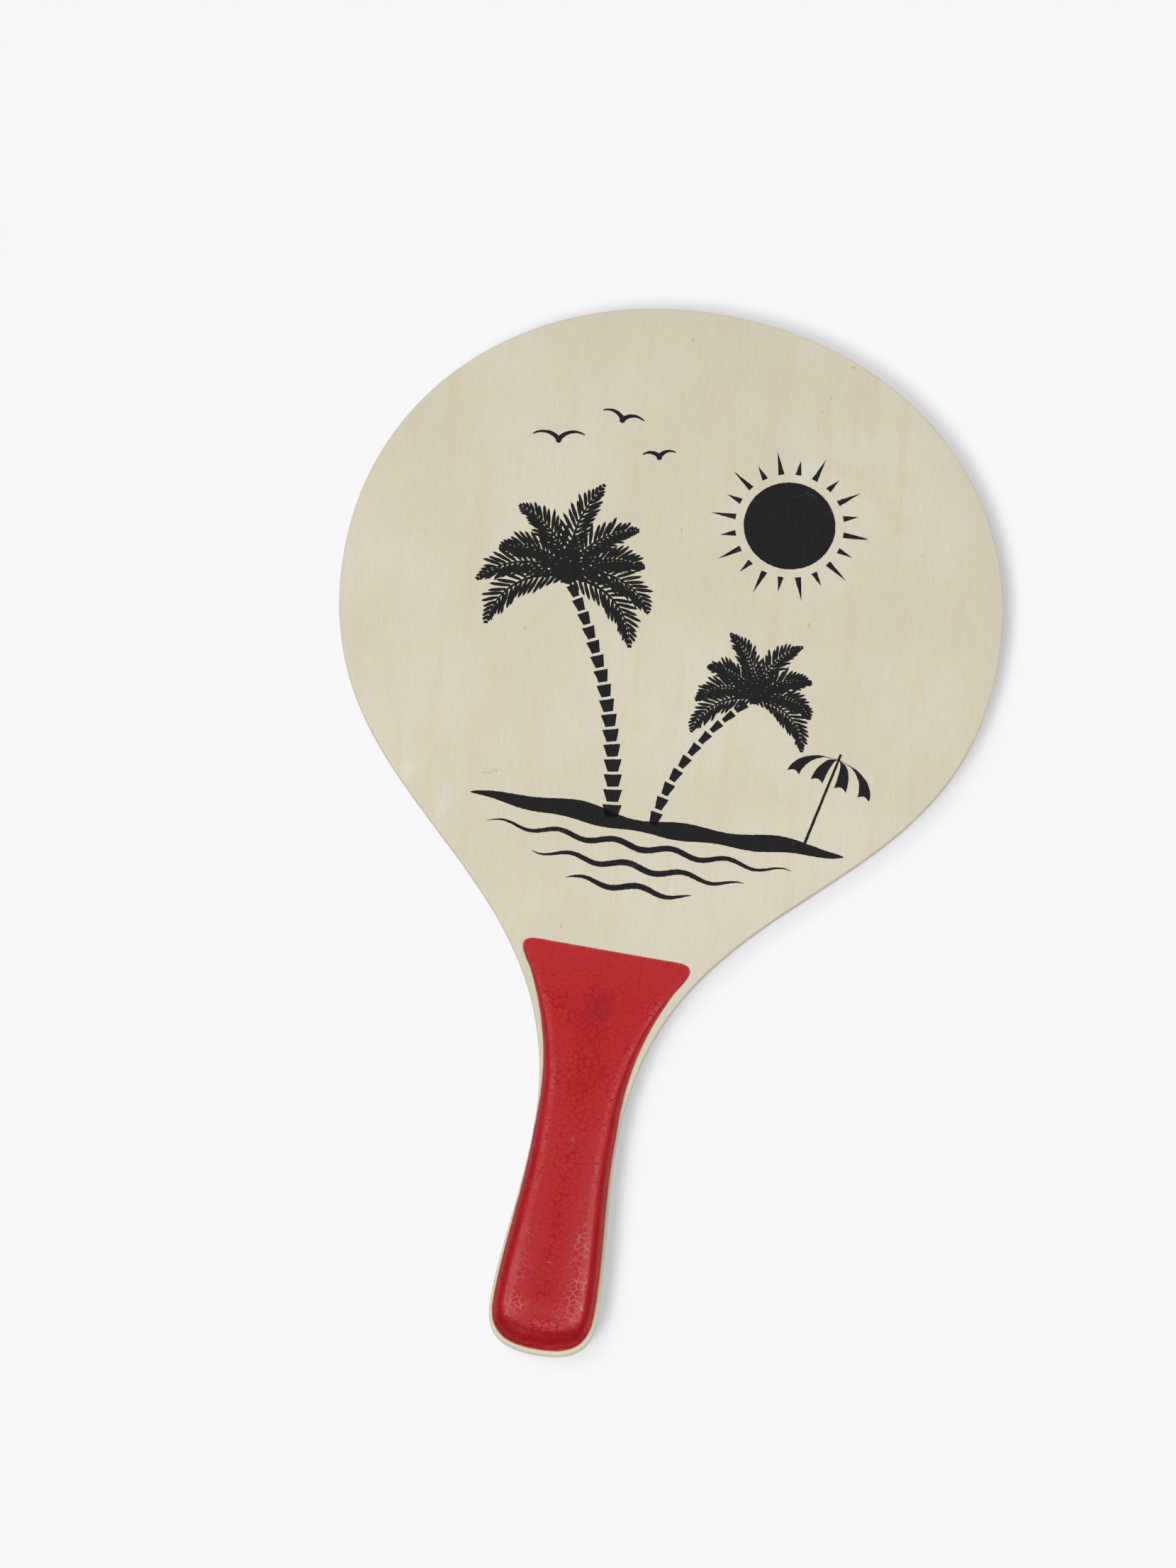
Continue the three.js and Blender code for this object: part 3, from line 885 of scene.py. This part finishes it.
def dome_rings(half, grip, full):
    """Rings over the grip: points, heights, and weights of 0 at the foot, then 1 and 2 round the crown."""
    ring = both_halves(half, GRIP_CENTRE_X)
    inward = inward_directions(ring)
    uneven = grip.edge_wander * (1 + stray(ring, *FOOT_WAVES))
    width = side_width(ring[:, 1], grip) * shoulder_height(ring[:, 1], grip, full) / full
    bottom_y, top_y = half[-1, 1] + grip.spine_from_end, half[0, 1] - grip.spine_from_top
    rings = [(ring + inward * uneven[:, None], np.zeros(len(ring)), np.zeros(len(ring)))]
    for t in np.linspace(0, 1, grip.edge_rings + 1):
        across, up = side_bend(t)
        inset = grip.foot_lip + (width - grip.foot_lip) * across + uneven * (1 - across)
        at = ring + inward * inset[:, None]
        height = shoulder_height(at[:, 1], grip, full) * up + grip.foot_lip * LIP_RISE * (1 - up)
        rings.append((at, height, np.full(len(at), up**CROWN_POWER)))
    shoulder = rings[-1][0]
    spine = np.column_stack([np.full(len(ring), GRIP_CENTRE_X), np.clip(shoulder[:, 1], bottom_y, top_y)])
    for share in np.linspace(0, 1, grip.crown_rings + 1)[1:]:
        at = shoulder + (spine - shoulder) * share
        bulge = 1 + grip.crown_bulge / full * (1 - (1 - share) ** 2)
        rings.append((at, shoulder_height(at[:, 1], grip, full) * bulge, np.full(len(at), 1 + share)))
    return rings


def flood(start, stop):
    """Every face that can be reached from some faces without crossing into others."""
    reached, waiting = set(start), list(start)
    while waiting:
        for edge in waiting.pop().edges:
            new = set(edge.link_faces) - reached - stop
            reached |= new
            waiting.extend(new)
    return reached


def grain_relief(tree, geometry, cell_size, relief, seed):
    """Sinks the borders of the leather grain's cells a little below their middles."""
    cells = leather_cells(tree, tree.node("GeometryNodeInputPosition"), cell_size, seed)
    crown = tree.node("GeometryNodeInputNamedAttribute", {"data_type": "FLOAT"}, {"Name": "crown"})
    sunk = cobbles(*cells, 0.12) * relief * crown.at_most(1)
    offset = tree.scaled(tree.node("GeometryNodeInputNormal"), 0 - sunk)
    return tree.node("GeometryNodeSetPosition", None, {"Geometry": geometry, "Offset": offset})


def grip_half(node, name, grip, material, side):
    """One moulded half: a fine grained dome in place of the frame's, on the frame's own inside."""
    low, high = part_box(node)
    foot_z = FRONT_FACE_Z if side > 0 else BACK_FACE_Z
    full = (high.z - foot_z if side > 0 else foot_z - low.z) - grip.crown_bulge
    made = node_copy(node)
    outer, hollow, *_ = level_loops(made, foot_z)
    half = right_half(outer, GRIP_CENTRE_X, grip.point_spacing)
    flat = flat_faces(made, foot_z)
    rim = {f for e in ring_edges(made, outer) for f in e.link_faces}
    skin = flood(rim - flat, flat)
    foot = flood(rim & flat, set(made.faces) - flat)
    bmesh.ops.delete(made, geom=list(skin | foot), context="FACES")
    crown = made.verts.layers.float.new("crown")
    rings = []
    for ring, heights, weights in dome_rings(half, grip, full):
        rings.append(add_ring(made, ring, foot_z + side * heights))
        for vertex, weight in zip(rings[-1], weights):
            vertex[crown] = weight
    bridge(made, rings)
    cap(made, [rings[0], [v for v in hollow if v.is_valid]])
    bmesh.ops.remove_doubles(made, verts=made.verts, dist=MERGE_DISTANCE)
    bmesh.ops.recalc_face_normals(made, faces=made.faces)
    grain = {"cell_size": grip.cell_size, "relief": grip.cell_relief, "seed": grip.grain_seed}
    form = placed_mesh(name + "_form", made)
    piece = grown(form, name, "Leather_Grain", grain_relief, material=material, **grain)
    finished(piece, material, node)


# The printed picture

# The ink's narrowest line, the spacing of its outlines' points and how far it sinks into the veneer
THINNEST_INK = 0.25 * MM
INK_SPACING = 0.6 * MM
INK_DEPTH = 0.01 * MM

# The seed of the frayed edges, without which Blender takes one from the clock
FRAY_SEED = 1

# Sizes in the picture
RAY_GAP = 3.2 * MM
RAY_WIDTH = 2.0 * MM
TALL_FROND = 38 * MM
UMBRELLA_REACH = 16 * MM
UMBRELLA_DROP = 11 * MM
HEM_ARCH = 1.2 * MM

# A palm's parts, as shares of its height or of its fronds' length
TRUNK_WIDTHS = (0.062, 0.034)
BARK_SHARE = 0.87
RIB_WIDTH = 0.036
PALM_HEART = 0.07

# Waves, in mm: their level, left end and right end
WAVES = ((-9.5, -52, 60), (-17.5, -34, 44), (-25.5, -20, 26))

# Gulls: where each is and its wings' length, in mm, and its lean
GULLS = ((-52, 140, 11, 0.15), (-30, 152, 9, -0.1), (-14, 140, 7, 0.25))


def ribbon(path, widths):
    """A closed outline round a path, as wide as is given at each of its points."""
    forward = np.gradient(path, axis=0)
    forward /= np.linalg.norm(forward, axis=1)[:, None]
    side = np.column_stack([-forward[:, 1], forward[:, 0]]) * np.asarray(widths)[:, None] / 2
    return np.vstack([path + side, (path - side)[::-1]])


def tapered(path, width, root=0.0):
    """A ribbon that thins out towards both ends of its path, or only to the far end where a root is given."""
    share = np.linspace(0, 1, len(path))
    swell = root + (1 - root) * (1 - share) ** 0.8 if root else np.sin(share * math.pi) ** 0.6
    return ribbon(path, np.maximum(width * swell, THINNEST_INK))


def arched(start, heading, length, turn, steps=24):
    """A path that sets out on a heading and turns evenly on its way."""
    headings = heading + turn * np.linspace(0, 1, steps)
    moves = np.column_stack([np.cos(headings), np.sin(headings)]) * length / steps
    return np.vstack([start, start + np.cumsum(moves, axis=0)])


def disc(centre, radius, steps=120):
    """A round outline."""
    angles = np.linspace(0, 2 * math.pi, steps, endpoint=False)
    return np.column_stack([np.cos(angles), np.sin(angles)]) * radius + centre


def dense(outline, spacing):
    """An outline with points added, so that none are further apart than a spacing."""
    points = []
    for a, b in zip(outline, np.roll(outline, -1, axis=0)):
        count = max(int(np.ceil(np.linalg.norm(b - a) / spacing)), 1)
        points.append(a + (b - a) * np.linspace(0, 1, count, endpoint=False)[:, None])
    return np.vstack(points)


def ragged(points, reach):
    """Points moved a little, more along the grain than across it, as ink runs into wood."""
    moved = []
    for x, y in points:
        field = noise.noise_vector(Vector((x / (1.1 * MM), y / (1.9 * MM), 7)))
        fine = noise.noise_vector(Vector((x / (0.45 * MM), y / (0.9 * MM), 9)))
        moved.append((x + (field.x + fine.x * 0.4) * reach, y + (field.y + fine.y * 0.4) * reach * 1.3))
    return moved


def sheet_of_ink(name, outlines):
    """One closed sheet of ink from flat outlines that may overlap."""
    settings = bpy.context.scene.racket_print
    noise.seed_set(FRAY_SEED)
    points, faces = [], []
    for outline in outlines:
        x, y = outline.T
        if np.dot(x, np.roll(y, -1)) < np.dot(y, np.roll(x, -1)):
            outline = outline[::-1]
        outline = dense(outline, INK_SPACING)
        faces.append(list(range(len(points), len(points) + len(outline))))
        points.extend(Vector(p) / MM for p in ragged(outline, settings.ragged))
    corners, _, merged, _, _, origins = delaunay_2d_cdt(points, [], faces, 0, 1e-5)
    flat = [p * MM for p in corners]
    inside = [face for face, origin in zip(merged, origins) if origin]
    used = sorted({i for face in inside for i in face})
    made = bmesh.new()
    bottom, top = (
        {i: made.verts.new((flat[i].x, flat[i].y, FRONT_FACE_Z + z)) for i in used}
        for z in (-INK_DEPTH, settings.ink_thickness)
    )
    sides = {}
    for face in inside:
        a, b, c = (flat[i] for i in face)
        if (b - a).cross(c - a) < 0:
            face = face[::-1]
        made.faces.new([top[i] for i in face])
        made.faces.new([bottom[i] for i in reversed(face)])
        for pair in zip(face, one_on(face)):
            if not sides.pop(pair[::-1], False):
                sides[pair] = True
    for i, j in sides:
        made.faces.new((bottom[i], bottom[j], top[j], top[i]))
    finished(placed_mesh(name, made), ink())


def repeated(paths, tree_name, build, **inputs):
    """The outlines that a geometry node tree sets out along some paths."""
    vertices, edges = [], []
    for path in paths:
        edges.extend((len(vertices) + i, len(vertices) + i + 1) for i in range(len(path) - 1))
        vertices.extend((x, y, 0) for x, y in path)
    mesh = bpy.data.meshes.new(tree_name)
    mesh.from_pydata(vertices, edges, [])
    source = placed(tree_name, mesh)
    result = grown(source, tree_name + "_outlines", tree_name, build, material=ink(), **inputs)
    corners = result.data.vertices
    outlines = [np.array([corners[i].co.xy for i in face.vertices]) for face in result.data.polygons]
    bpy.data.objects.remove(result)
    return outlines


def spaced(tree, geometry, count):
    """Points at even steps along each path: the points, their share of the way and their heading."""
    curve = tree.node("GeometryNodeMeshToCurve", None, {"Mesh": geometry})
    points = tree.node("GeometryNodeCurveToPoints", {"mode": "COUNT"}, {"Curve": curve, "Count": count})
    index = tree.node("GeometryNodeInputIndex")
    share = index.math("MODULO", index, count) / (count - 1)
    tangent = tree.node("ShaderNodeSeparateXYZ", None, {"Vector": points.part("Tangent")})
    heading = share.math("ARCTAN2", tangent.part("Y"), tangent.part("X"))
    return points, share, heading


def set_out(tree, points, shape, heading, along, across):
    """A flat shape at each of some points, turned to a heading and scaled along and across it."""
    turn = tree.node("ShaderNodeCombineXYZ", None, {2: heading})
    scale = tree.node("ShaderNodeCombineXYZ", None, {0: along, 1: across, 2: 1.0})
    values = {"Points": points, "Instance": shape, "Rotation": turn, "Scale": scale}
    return tree.node("GeometryNodeInstanceOnPoints", None, values)


def cut_out(tree, corners, radius, shift):
    """A flat even shape with some corners, shifted onwards from its middle."""
    values = {"Vertices": corners, "Radius": radius}
    shape = tree.node("GeometryNodeMeshCircle", {"fill_type": "NGON"}, values)
    return tree.node("GeometryNodeTransform", None, {"Geometry": shape, "Translation": (shift, 0, 0)})


def leaflets(tree, geometry, count, length, width, seed):
    """Pointed leaflets on both sides of each rib, longest past the rib's middle."""
    points, share, heading = spaced(tree, geometry, count)
    lens = cut_out(tree, 8, 0.5, 0.5)
    joined = tree.node("GeometryNodeJoinGeometry")
    swell = share.math("SINE", 0, 0).math("SINE", share * 2.55 + 0.45, 0)
    for side in (1, -1):
        values = {2: -1.0, 3: 1.0, "Seed": seed + side}
        chance = tree.node("FunctionNodeRandomValue", None, values, out=1)
        reach = length * swell * (1 + chance * 0.13)
        spread = (1.0 - share * 0.55 + chance * 0.07) * side
        leaf = set_out(tree, points, lens, heading + spread, reach, width * (0.75 + swell * 0.25))
        tree.fill(joined.socket.node, {"Geometry": leaf})
    return joined


def bark(tree, geometry, count, segment, base_width, top_width):
    """Flared segments of bark up a trunk, with a gap between each and the next."""
    points, share, heading = spaced(tree, geometry, count)
    sizes = {"Size X": 1.0, "Size Y": 1.0, "Vertices X": 2, "Vertices Y": 2}
    place = tree.node("ShaderNodeSeparateXYZ", None, {"Vector": tree.node("GeometryNodeInputPosition")})
    flare = tree.node("ShaderNodeCombineXYZ", None, {1: place.part("Y") * place.part("X") * 0.5})
    values = {"Geometry": tree.node("GeometryNodeMeshGrid", None, sizes), "Offset": flare}
    plate = tree.node("GeometryNodeSetPosition", None, values)
    return set_out(tree, points, plate, heading, segment, base_width + (top_width - base_width) * share)


def rays(tree, geometry, count, length, width):
    """Pointed rays that stand outwards round a circle, long and short in turn."""
    points, _, heading = spaced(tree, geometry, count)
    wedge = cut_out(tree, 3, 2 / 3, 1 / 3)
    index = tree.node("GeometryNodeInputIndex")
    shorter = index.math("MODULO", index, 2) * 0.38
    return set_out(tree, points, wedge, heading - math.pi / 2, length * (1 - shorter), width)


def ink_finish(name, settings):
    """Matt screen-print ink, thin on the raised grain and scratched here and there."""
    material, tree, shader = finish_tree(name)
    place = tree.node("ShaderNodeTexCoord", out="Object")
    fibre = tree.noise(tree.stretched(place, 0, (1, 24, 1)), 0.5 * MM, 2.0, 0.6)
    bent = tree.vector("ADD", place, tree.scaled(tree.noise(place, 30 * MM, out="Color"), 24 * MM))
    here = tree.noise(place, 14 * MM).step(0.55, 0.62)
    scratch = tree.cells(bent, 16 * MM).fade(0.0, 0.012) * here
    thin = fibre.step(0.5, 0.85) * 0.35
    values = {
        "Base Color": tree.mix(scratch.at_least(thin), settings.ink, settings.rubbed),
        "Roughness": 0.5 + fibre * 0.2 - scratch * 0.1,
        "Specular IOR Level": 0.12,
        "Normal": tree.bump(fibre * 0.7 - scratch * 0.3, 0.3, 0.05 * MM),
    }
    tree.fill(shader, values)
    return material


def ink():
    """The ink's finish, made once for all the motifs."""
    name = "Black_Print_Ink"
    return bpy.data.materials.get(name) or ink_finish(name, bpy.context.scene.racket_print)


def palm(foot, lean, height, frond_length, frond_count, rings, seed):
    """The outlines of a palm: a leaning trunk in segments, and fronds that arch over from its top."""
    settings = bpy.context.scene.racket_print
    trunk = arched(np.array(foot) * MM, math.pi / 2 + lean * 0.35, height, lean * 1.5)
    widths = {key: share * height for key, share in zip(("base_width", "top_width"), TRUNK_WIDTHS)}
    segment = height / rings * BARK_SHARE
    outlines = repeated([trunk], "Palm_Bark", bark, count=rings, segment=segment, **widths)
    ribs = []
    for i in range(frond_count):
        heading = math.radians(-18 + 216 * i / (frond_count - 1))
        side = 1 if math.cos(heading) >= 0 else -1
        droop = -side * (0.75 + 0.75 * abs(math.cos(heading)) + 0.14 * math.sin(i * 2.4))
        reach = frond_length * (0.9 + 0.12 * math.sin(i * 1.7 + seed))
        ribs.append(arched(trunk[-1], heading - droop * 0.25, reach, droop))
    outlines += [tapered(rib, RIB_WIDTH * frond_length, 0.15) for rib in ribs]
    growth = frond_length / TALL_FROND
    sizes = {
        "count": settings.leaflet_count,
        "length": settings.leaflet_length * growth,
        "width": settings.leaflet_width * growth**0.5,
    }
    outlines += repeated(ribs, "Palm_Leaflets", leaflets, **sizes, seed=seed)
    outlines.append(disc(trunk[-1], PALM_HEART * frond_length, 24))
    return outlines


class RACKET_OT_sun(bpy.types.Operator):
    """Print the sun and its rays"""

    bl_idname = "racket.sun"
    bl_label = "Printed sun"

    def execute(self, context):
        settings = context.scene.racket_print
        centre = np.array((38 * MM, 122 * MM))
        circle = disc(centre, settings.sun_radius + RAY_GAP, settings.ray_count * 6)
        circle = np.vstack([circle, circle[:1]])
        sizes = {"count": settings.ray_count + 1, "length": settings.ray_length, "width": RAY_WIDTH}
        outlines = repeated([circle], "Sun_Rays", rays, **sizes)
        outlines.append(disc(centre, settings.sun_radius))
        sheet_of_ink("Printed_Sun", outlines)
        return {"FINISHED"}


class RACKET_OT_palms(bpy.types.Operator):
    """Print the two palms"""

    bl_idname = "racket.palms"
    bl_label = "Printed palms"

    def execute(self, context):
        rings = context.scene.racket_print.trunk_rings
        tall = palm((-8, 2), 0.32, 92 * MM, TALL_FROND, 9, rings, 1)
        low = palm((8, 2), -0.46, 60 * MM, 28 * MM, 8, rings * 2 // 3, 2)
        sheet_of_ink("Printed_Palms", tall + low)
        return {"FINISHED"}


class RACKET_OT_shore(bpy.types.Operator):
    """Print the dune, the umbrella and the waves"""

    bl_idname = "racket.shore"
    bl_label = "Printed shore"

    def execute(self, context):
        outlines = [self.dune(), *self.umbrella(np.array((63 * MM, 1 * MM)))]
        for level, left, right in WAVES:
            x = np.linspace(left, right, 110) * MM
            wave = np.column_stack([x, level * MM + 1.15 * MM * np.sin(x / (3.3 * MM) + level)])
            outlines.append(tapered(wave, 2.3 * MM))
        sheet_of_ink("Printed_Shore", outlines)
        return {"FINISHED"}

    def dune(self):
        """The outline of a low dune with a rippled crest."""
        x = np.linspace(-60, 78, 90) * MM
        share = np.linspace(0, 1, len(x))
        swell = np.sin(share * math.pi)
        crest = (2.5 + 1.6 * np.sin(share * 9) + 1.1 * np.sin(share * 23 + 1)) * MM * swell**0.5
        trough = -4.2 * MM * swell**0.7 + 0.5 * MM * np.sin(share * 31)
        return np.vstack([np.column_stack([x, crest]), np.column_stack([x, trough - 0.2 * MM])[::-1]])

    def umbrella(self, foot):
        """The outlines of an open beach umbrella, whose panels are inked in turn."""
        lean = math.radians(78)
        up = np.array((math.cos(lean), math.sin(lean)))
        side = np.array((up[1], -up[0])) * UMBRELLA_REACH
        top = foot + up * 36 * MM
        outlines = [ribbon(np.array([foot, top + up * 2 * MM]), [1.1 * MM, 0.9 * MM])]
        rise = np.linspace(1, 0, 10)[:, None]
        bow = np.sqrt(1 - (1 - rise) ** 2)
        shares = np.linspace(-1, 1, 8)
        for near, far in list(zip(shares, shares[1:]))[::2]:
            run = np.linspace(near, far, 9)[:, None]
            arch = np.sin((run - near) / (far - near) * math.pi) * HEM_ARCH
            hem = top + side * run - up * (UMBRELLA_DROP - arch)
            left, right = (top + side * share * bow - up * UMBRELLA_DROP * rise for share in (near, far))
            outlines.append(np.vstack([hem, right[1:-1], [top], left[1:-1][::-1]]))
        return outlines


class RACKET_OT_gulls(bpy.types.Operator):
    """Print the three gulls"""

    bl_idname = "racket.gulls"
    bl_label = "Printed gulls"

    def execute(self, context):
        outlines = []
        for x, y, span, tilt in GULLS:
            body = np.array((x, y)) * MM
            for side in (1, -1):
                heading = math.pi / 2 - side * (math.pi / 2 - 0.95) + tilt
                outlines.append(tapered(arched(body, heading, span * MM, -side * 1.5), 1.9 * MM, 0.2))
            outlines.append(disc(body - (0, 0.35 * MM), 1.05 * MM, 20))
        sheet_of_ink("Printed_Gulls", outlines)
        return {"FINISHED"}


class RACKET_OT_board(bpy.types.Operator):
    """Build the five plies of the board"""

    bl_idname = "racket.board"
    bl_label = "Plywood board"

    def execute(self, context):
        board = context.scene.racket_board
        along = (math.sin(-board.grain_angle), math.cos(board.grain_angle), 0)
        over = (math.cos(board.grain_angle), math.sin(board.grain_angle), 0)
        front = wood_finish("Front_Veneer_Wood", board, along, True)
        back = wood_finish("Back_Veneer_Wood", board, along, False)
        cross = wood_finish("Crossband_Wood", board, over, False)
        core = wood_finish("Core_Wood", board, along, False)
        sawn_ply(FRONT_VENEER, "Front_Face_Veneer", board, front, "front")
        sawn_ply(BACK_VENEER, "Back_Face_Veneer", board, back, "back")
        for node, material in zip(INNER_PLIES, (cross, core, cross)):
            sawn_ply(node, node.title(), board, material)
        return {"FINISHED"}


class RACKET_OT_grip(bpy.types.Operator):
    """Build the two moulded halves of the grip"""

    bl_idname = "racket.grip"
    bl_label = "Grip halves"

    def execute(self, context):
        grip = context.scene.racket_grip
        material = plastic_finish("Red_Grip_Plastic", grip)
        grip_half(FRONT_GRIP, "Front_Grip_Half", grip, material, 1)
        grip_half(BACK_GRIP, "Back_Grip_Half", grip, material, -1)
        return {"FINISHED"}


# The lamps: which setting gives a lamp's power, the direction it stands in, its spread, and its shadow
LAMPS = (
    ("Key_Lamp", "key_power", (-0.24, -0.51, 0.825), 20, True),
    ("Left_Lamp", "left_power", (-0.36, -0.02, 0.93), 28, True),
    ("Right_Lamp", "right_power", (0.32, 0.0, 0.95), 28, False),
)


class RACKET_OT_stage(bpy.types.Operator):
    """Set the floor, the lamps, the sky and the camera"""

    bl_idname = "racket.stage"
    bl_label = "Stage"

    def execute(self, context):
        stage = context.scene.racket_stage
        self.floor(stage)
        self.backdrop(stage)
        for name, power, towards, spread, casts_shadow in LAMPS:
            self.lamp(name, getattr(stage, power), Vector(towards), math.radians(spread), casts_shadow)
        world = bpy.data.worlds.new("Even_Sky")
        world.use_nodes = True
        world.node_tree.nodes["Background"].inputs["Color"].default_value = (1, 1, 1, 1)
        world.node_tree.nodes["Background"].inputs["Strength"].default_value = stage.sky_power
        context.scene.world = world
        self.camera(context, stage)
        context.scene.view_settings.view_transform = "Standard"
        return {"FINISHED"}

    def floor(self, stage):
        """A wide plain floor under the racket's lowest point."""
        reach = stage.backdrop_distance
        corners = [(x * reach, y * reach, CAD_BOX[0].z) for x, y in ((-1, -1), (1, -1), (1, 1), (-1, 1))]
        mesh = bpy.data.meshes.new("Floor")
        mesh.from_pydata(corners, [], [(0, 1, 2, 3)])
        mesh.materials.append(self.paint("Plain_Floor", stage, stage.shadow_lift))
        floor = placed("Floor", mesh)

    def backdrop(self, stage):
        """A low pale wall far away all round, for views from the side."""
        made = bmesh.new()
        ring = disc((0, 0), stage.backdrop_distance * 0.98, 96)[::-1]
        bridge(made, [add_ring(made, ring, height) for height in (-0.01, stage.backdrop_height)])
        wall = placed_mesh("Backdrop", made)
        wall.data.materials.append(self.paint("Pale_Backdrop", stage, 1))

    def paint(self, name, stage, lift):
        """A matt pale paint, of which a share always shows at its full level where it is seen."""
        material, tree, shader = finish_tree(name)
        path = tree.node("ShaderNodeLightPath", out="Is Camera Ray")
        seen = path.at_least(path.part("Is Glossy Ray")).at_least(path.part("Is Transmission Ray"))
        pale = (*stage.floor, 1)
        tree.fill(shader, {"Base Color": pale, "Roughness": 1.0, "Specular IOR Level": 0.0})
        tree.show(seen * lift, shader, tree.node("ShaderNodeEmission", None, {"Color": pale}))
        return material

    def lamp(self, name, power, towards, spread, casts_shadow):
        """A large soft lamp far away, in a direction."""
        data = bpy.data.lights.new(name, "SUN")
        data.energy = power
        data.angle = spread
        data.use_shadow = casts_shadow
        lamp = placed(name, data)
        lamp.rotation_mode = "QUATERNION"
        lamp.rotation_quaternion = towards.to_track_quat("Z", "Y")

    def camera(self, context, stage):
        """The camera at the photograph's place, leaning from the handle's side."""
        turn = Matrix.Rotation(stage.azimuth, 4, "Z") @ Matrix.Rotation(stage.tilt, 4, "X")
        data = bpy.data.cameras.new("Camera")
        data.lens = stage.lens
        camera = placed("Camera", data)
        back = turn @ Vector((0, 0, stage.distance))
        aim = Vector((stage.aim_across, stage.aim_along, FRONT_FACE_Z))
        camera.matrix_world = Matrix.Translation(aim + back) @ turn @ Matrix.Rotation(stage.roll, 4, "Z")
        context.scene.camera = camera


class RACKET_PT_sidebar(bpy.types.Panel):
    """Lists the racket's pieces and their settings"""

    bl_label = "Beach Racket"
    bl_space_type = "VIEW_3D"
    bl_region_type = "UI"
    bl_category = "Racket"

    def draw(self, context):
        for name, settings in SETTINGS.items():
            box = self.layout.box()
            for field in settings.__annotations__:
                box.prop(getattr(context.scene, name), field)
        for operator in OPERATORS:
            self.layout.operator(operator.bl_idname)


OPERATORS = (
    RACKET_OT_stage,
    RACKET_OT_board,
    RACKET_OT_grip,
    RACKET_OT_sun,
    RACKET_OT_palms,
    RACKET_OT_shore,
    RACKET_OT_gulls,
)


def register():
    """Makes the settings, the operators and the panel known to Blender."""
    for cls in (*SETTINGS.values(), *OPERATORS, RACKET_PT_sidebar):
        bpy.utils.register_class(cls)
    for name, settings in SETTINGS.items():
        setattr(bpy.types.Scene, name, PointerProperty(type=settings))


def unregister():
    """Takes them away again."""
    for name in SETTINGS:
        delattr(bpy.types.Scene, name)
    for cls in reversed((*SETTINGS.values(), *OPERATORS, RACKET_PT_sidebar)):
        bpy.utils.unregister_class(cls)


def main():
    """Builds everything in order."""
    register()
    bpy.ops.racket.stage()
    bpy.ops.racket.board()
    bpy.ops.racket.grip()
    bpy.ops.racket.sun()
    bpy.ops.racket.palms()
    bpy.ops.racket.shore()
    bpy.ops.racket.gulls()


if __name__ == "__main__":
    main()
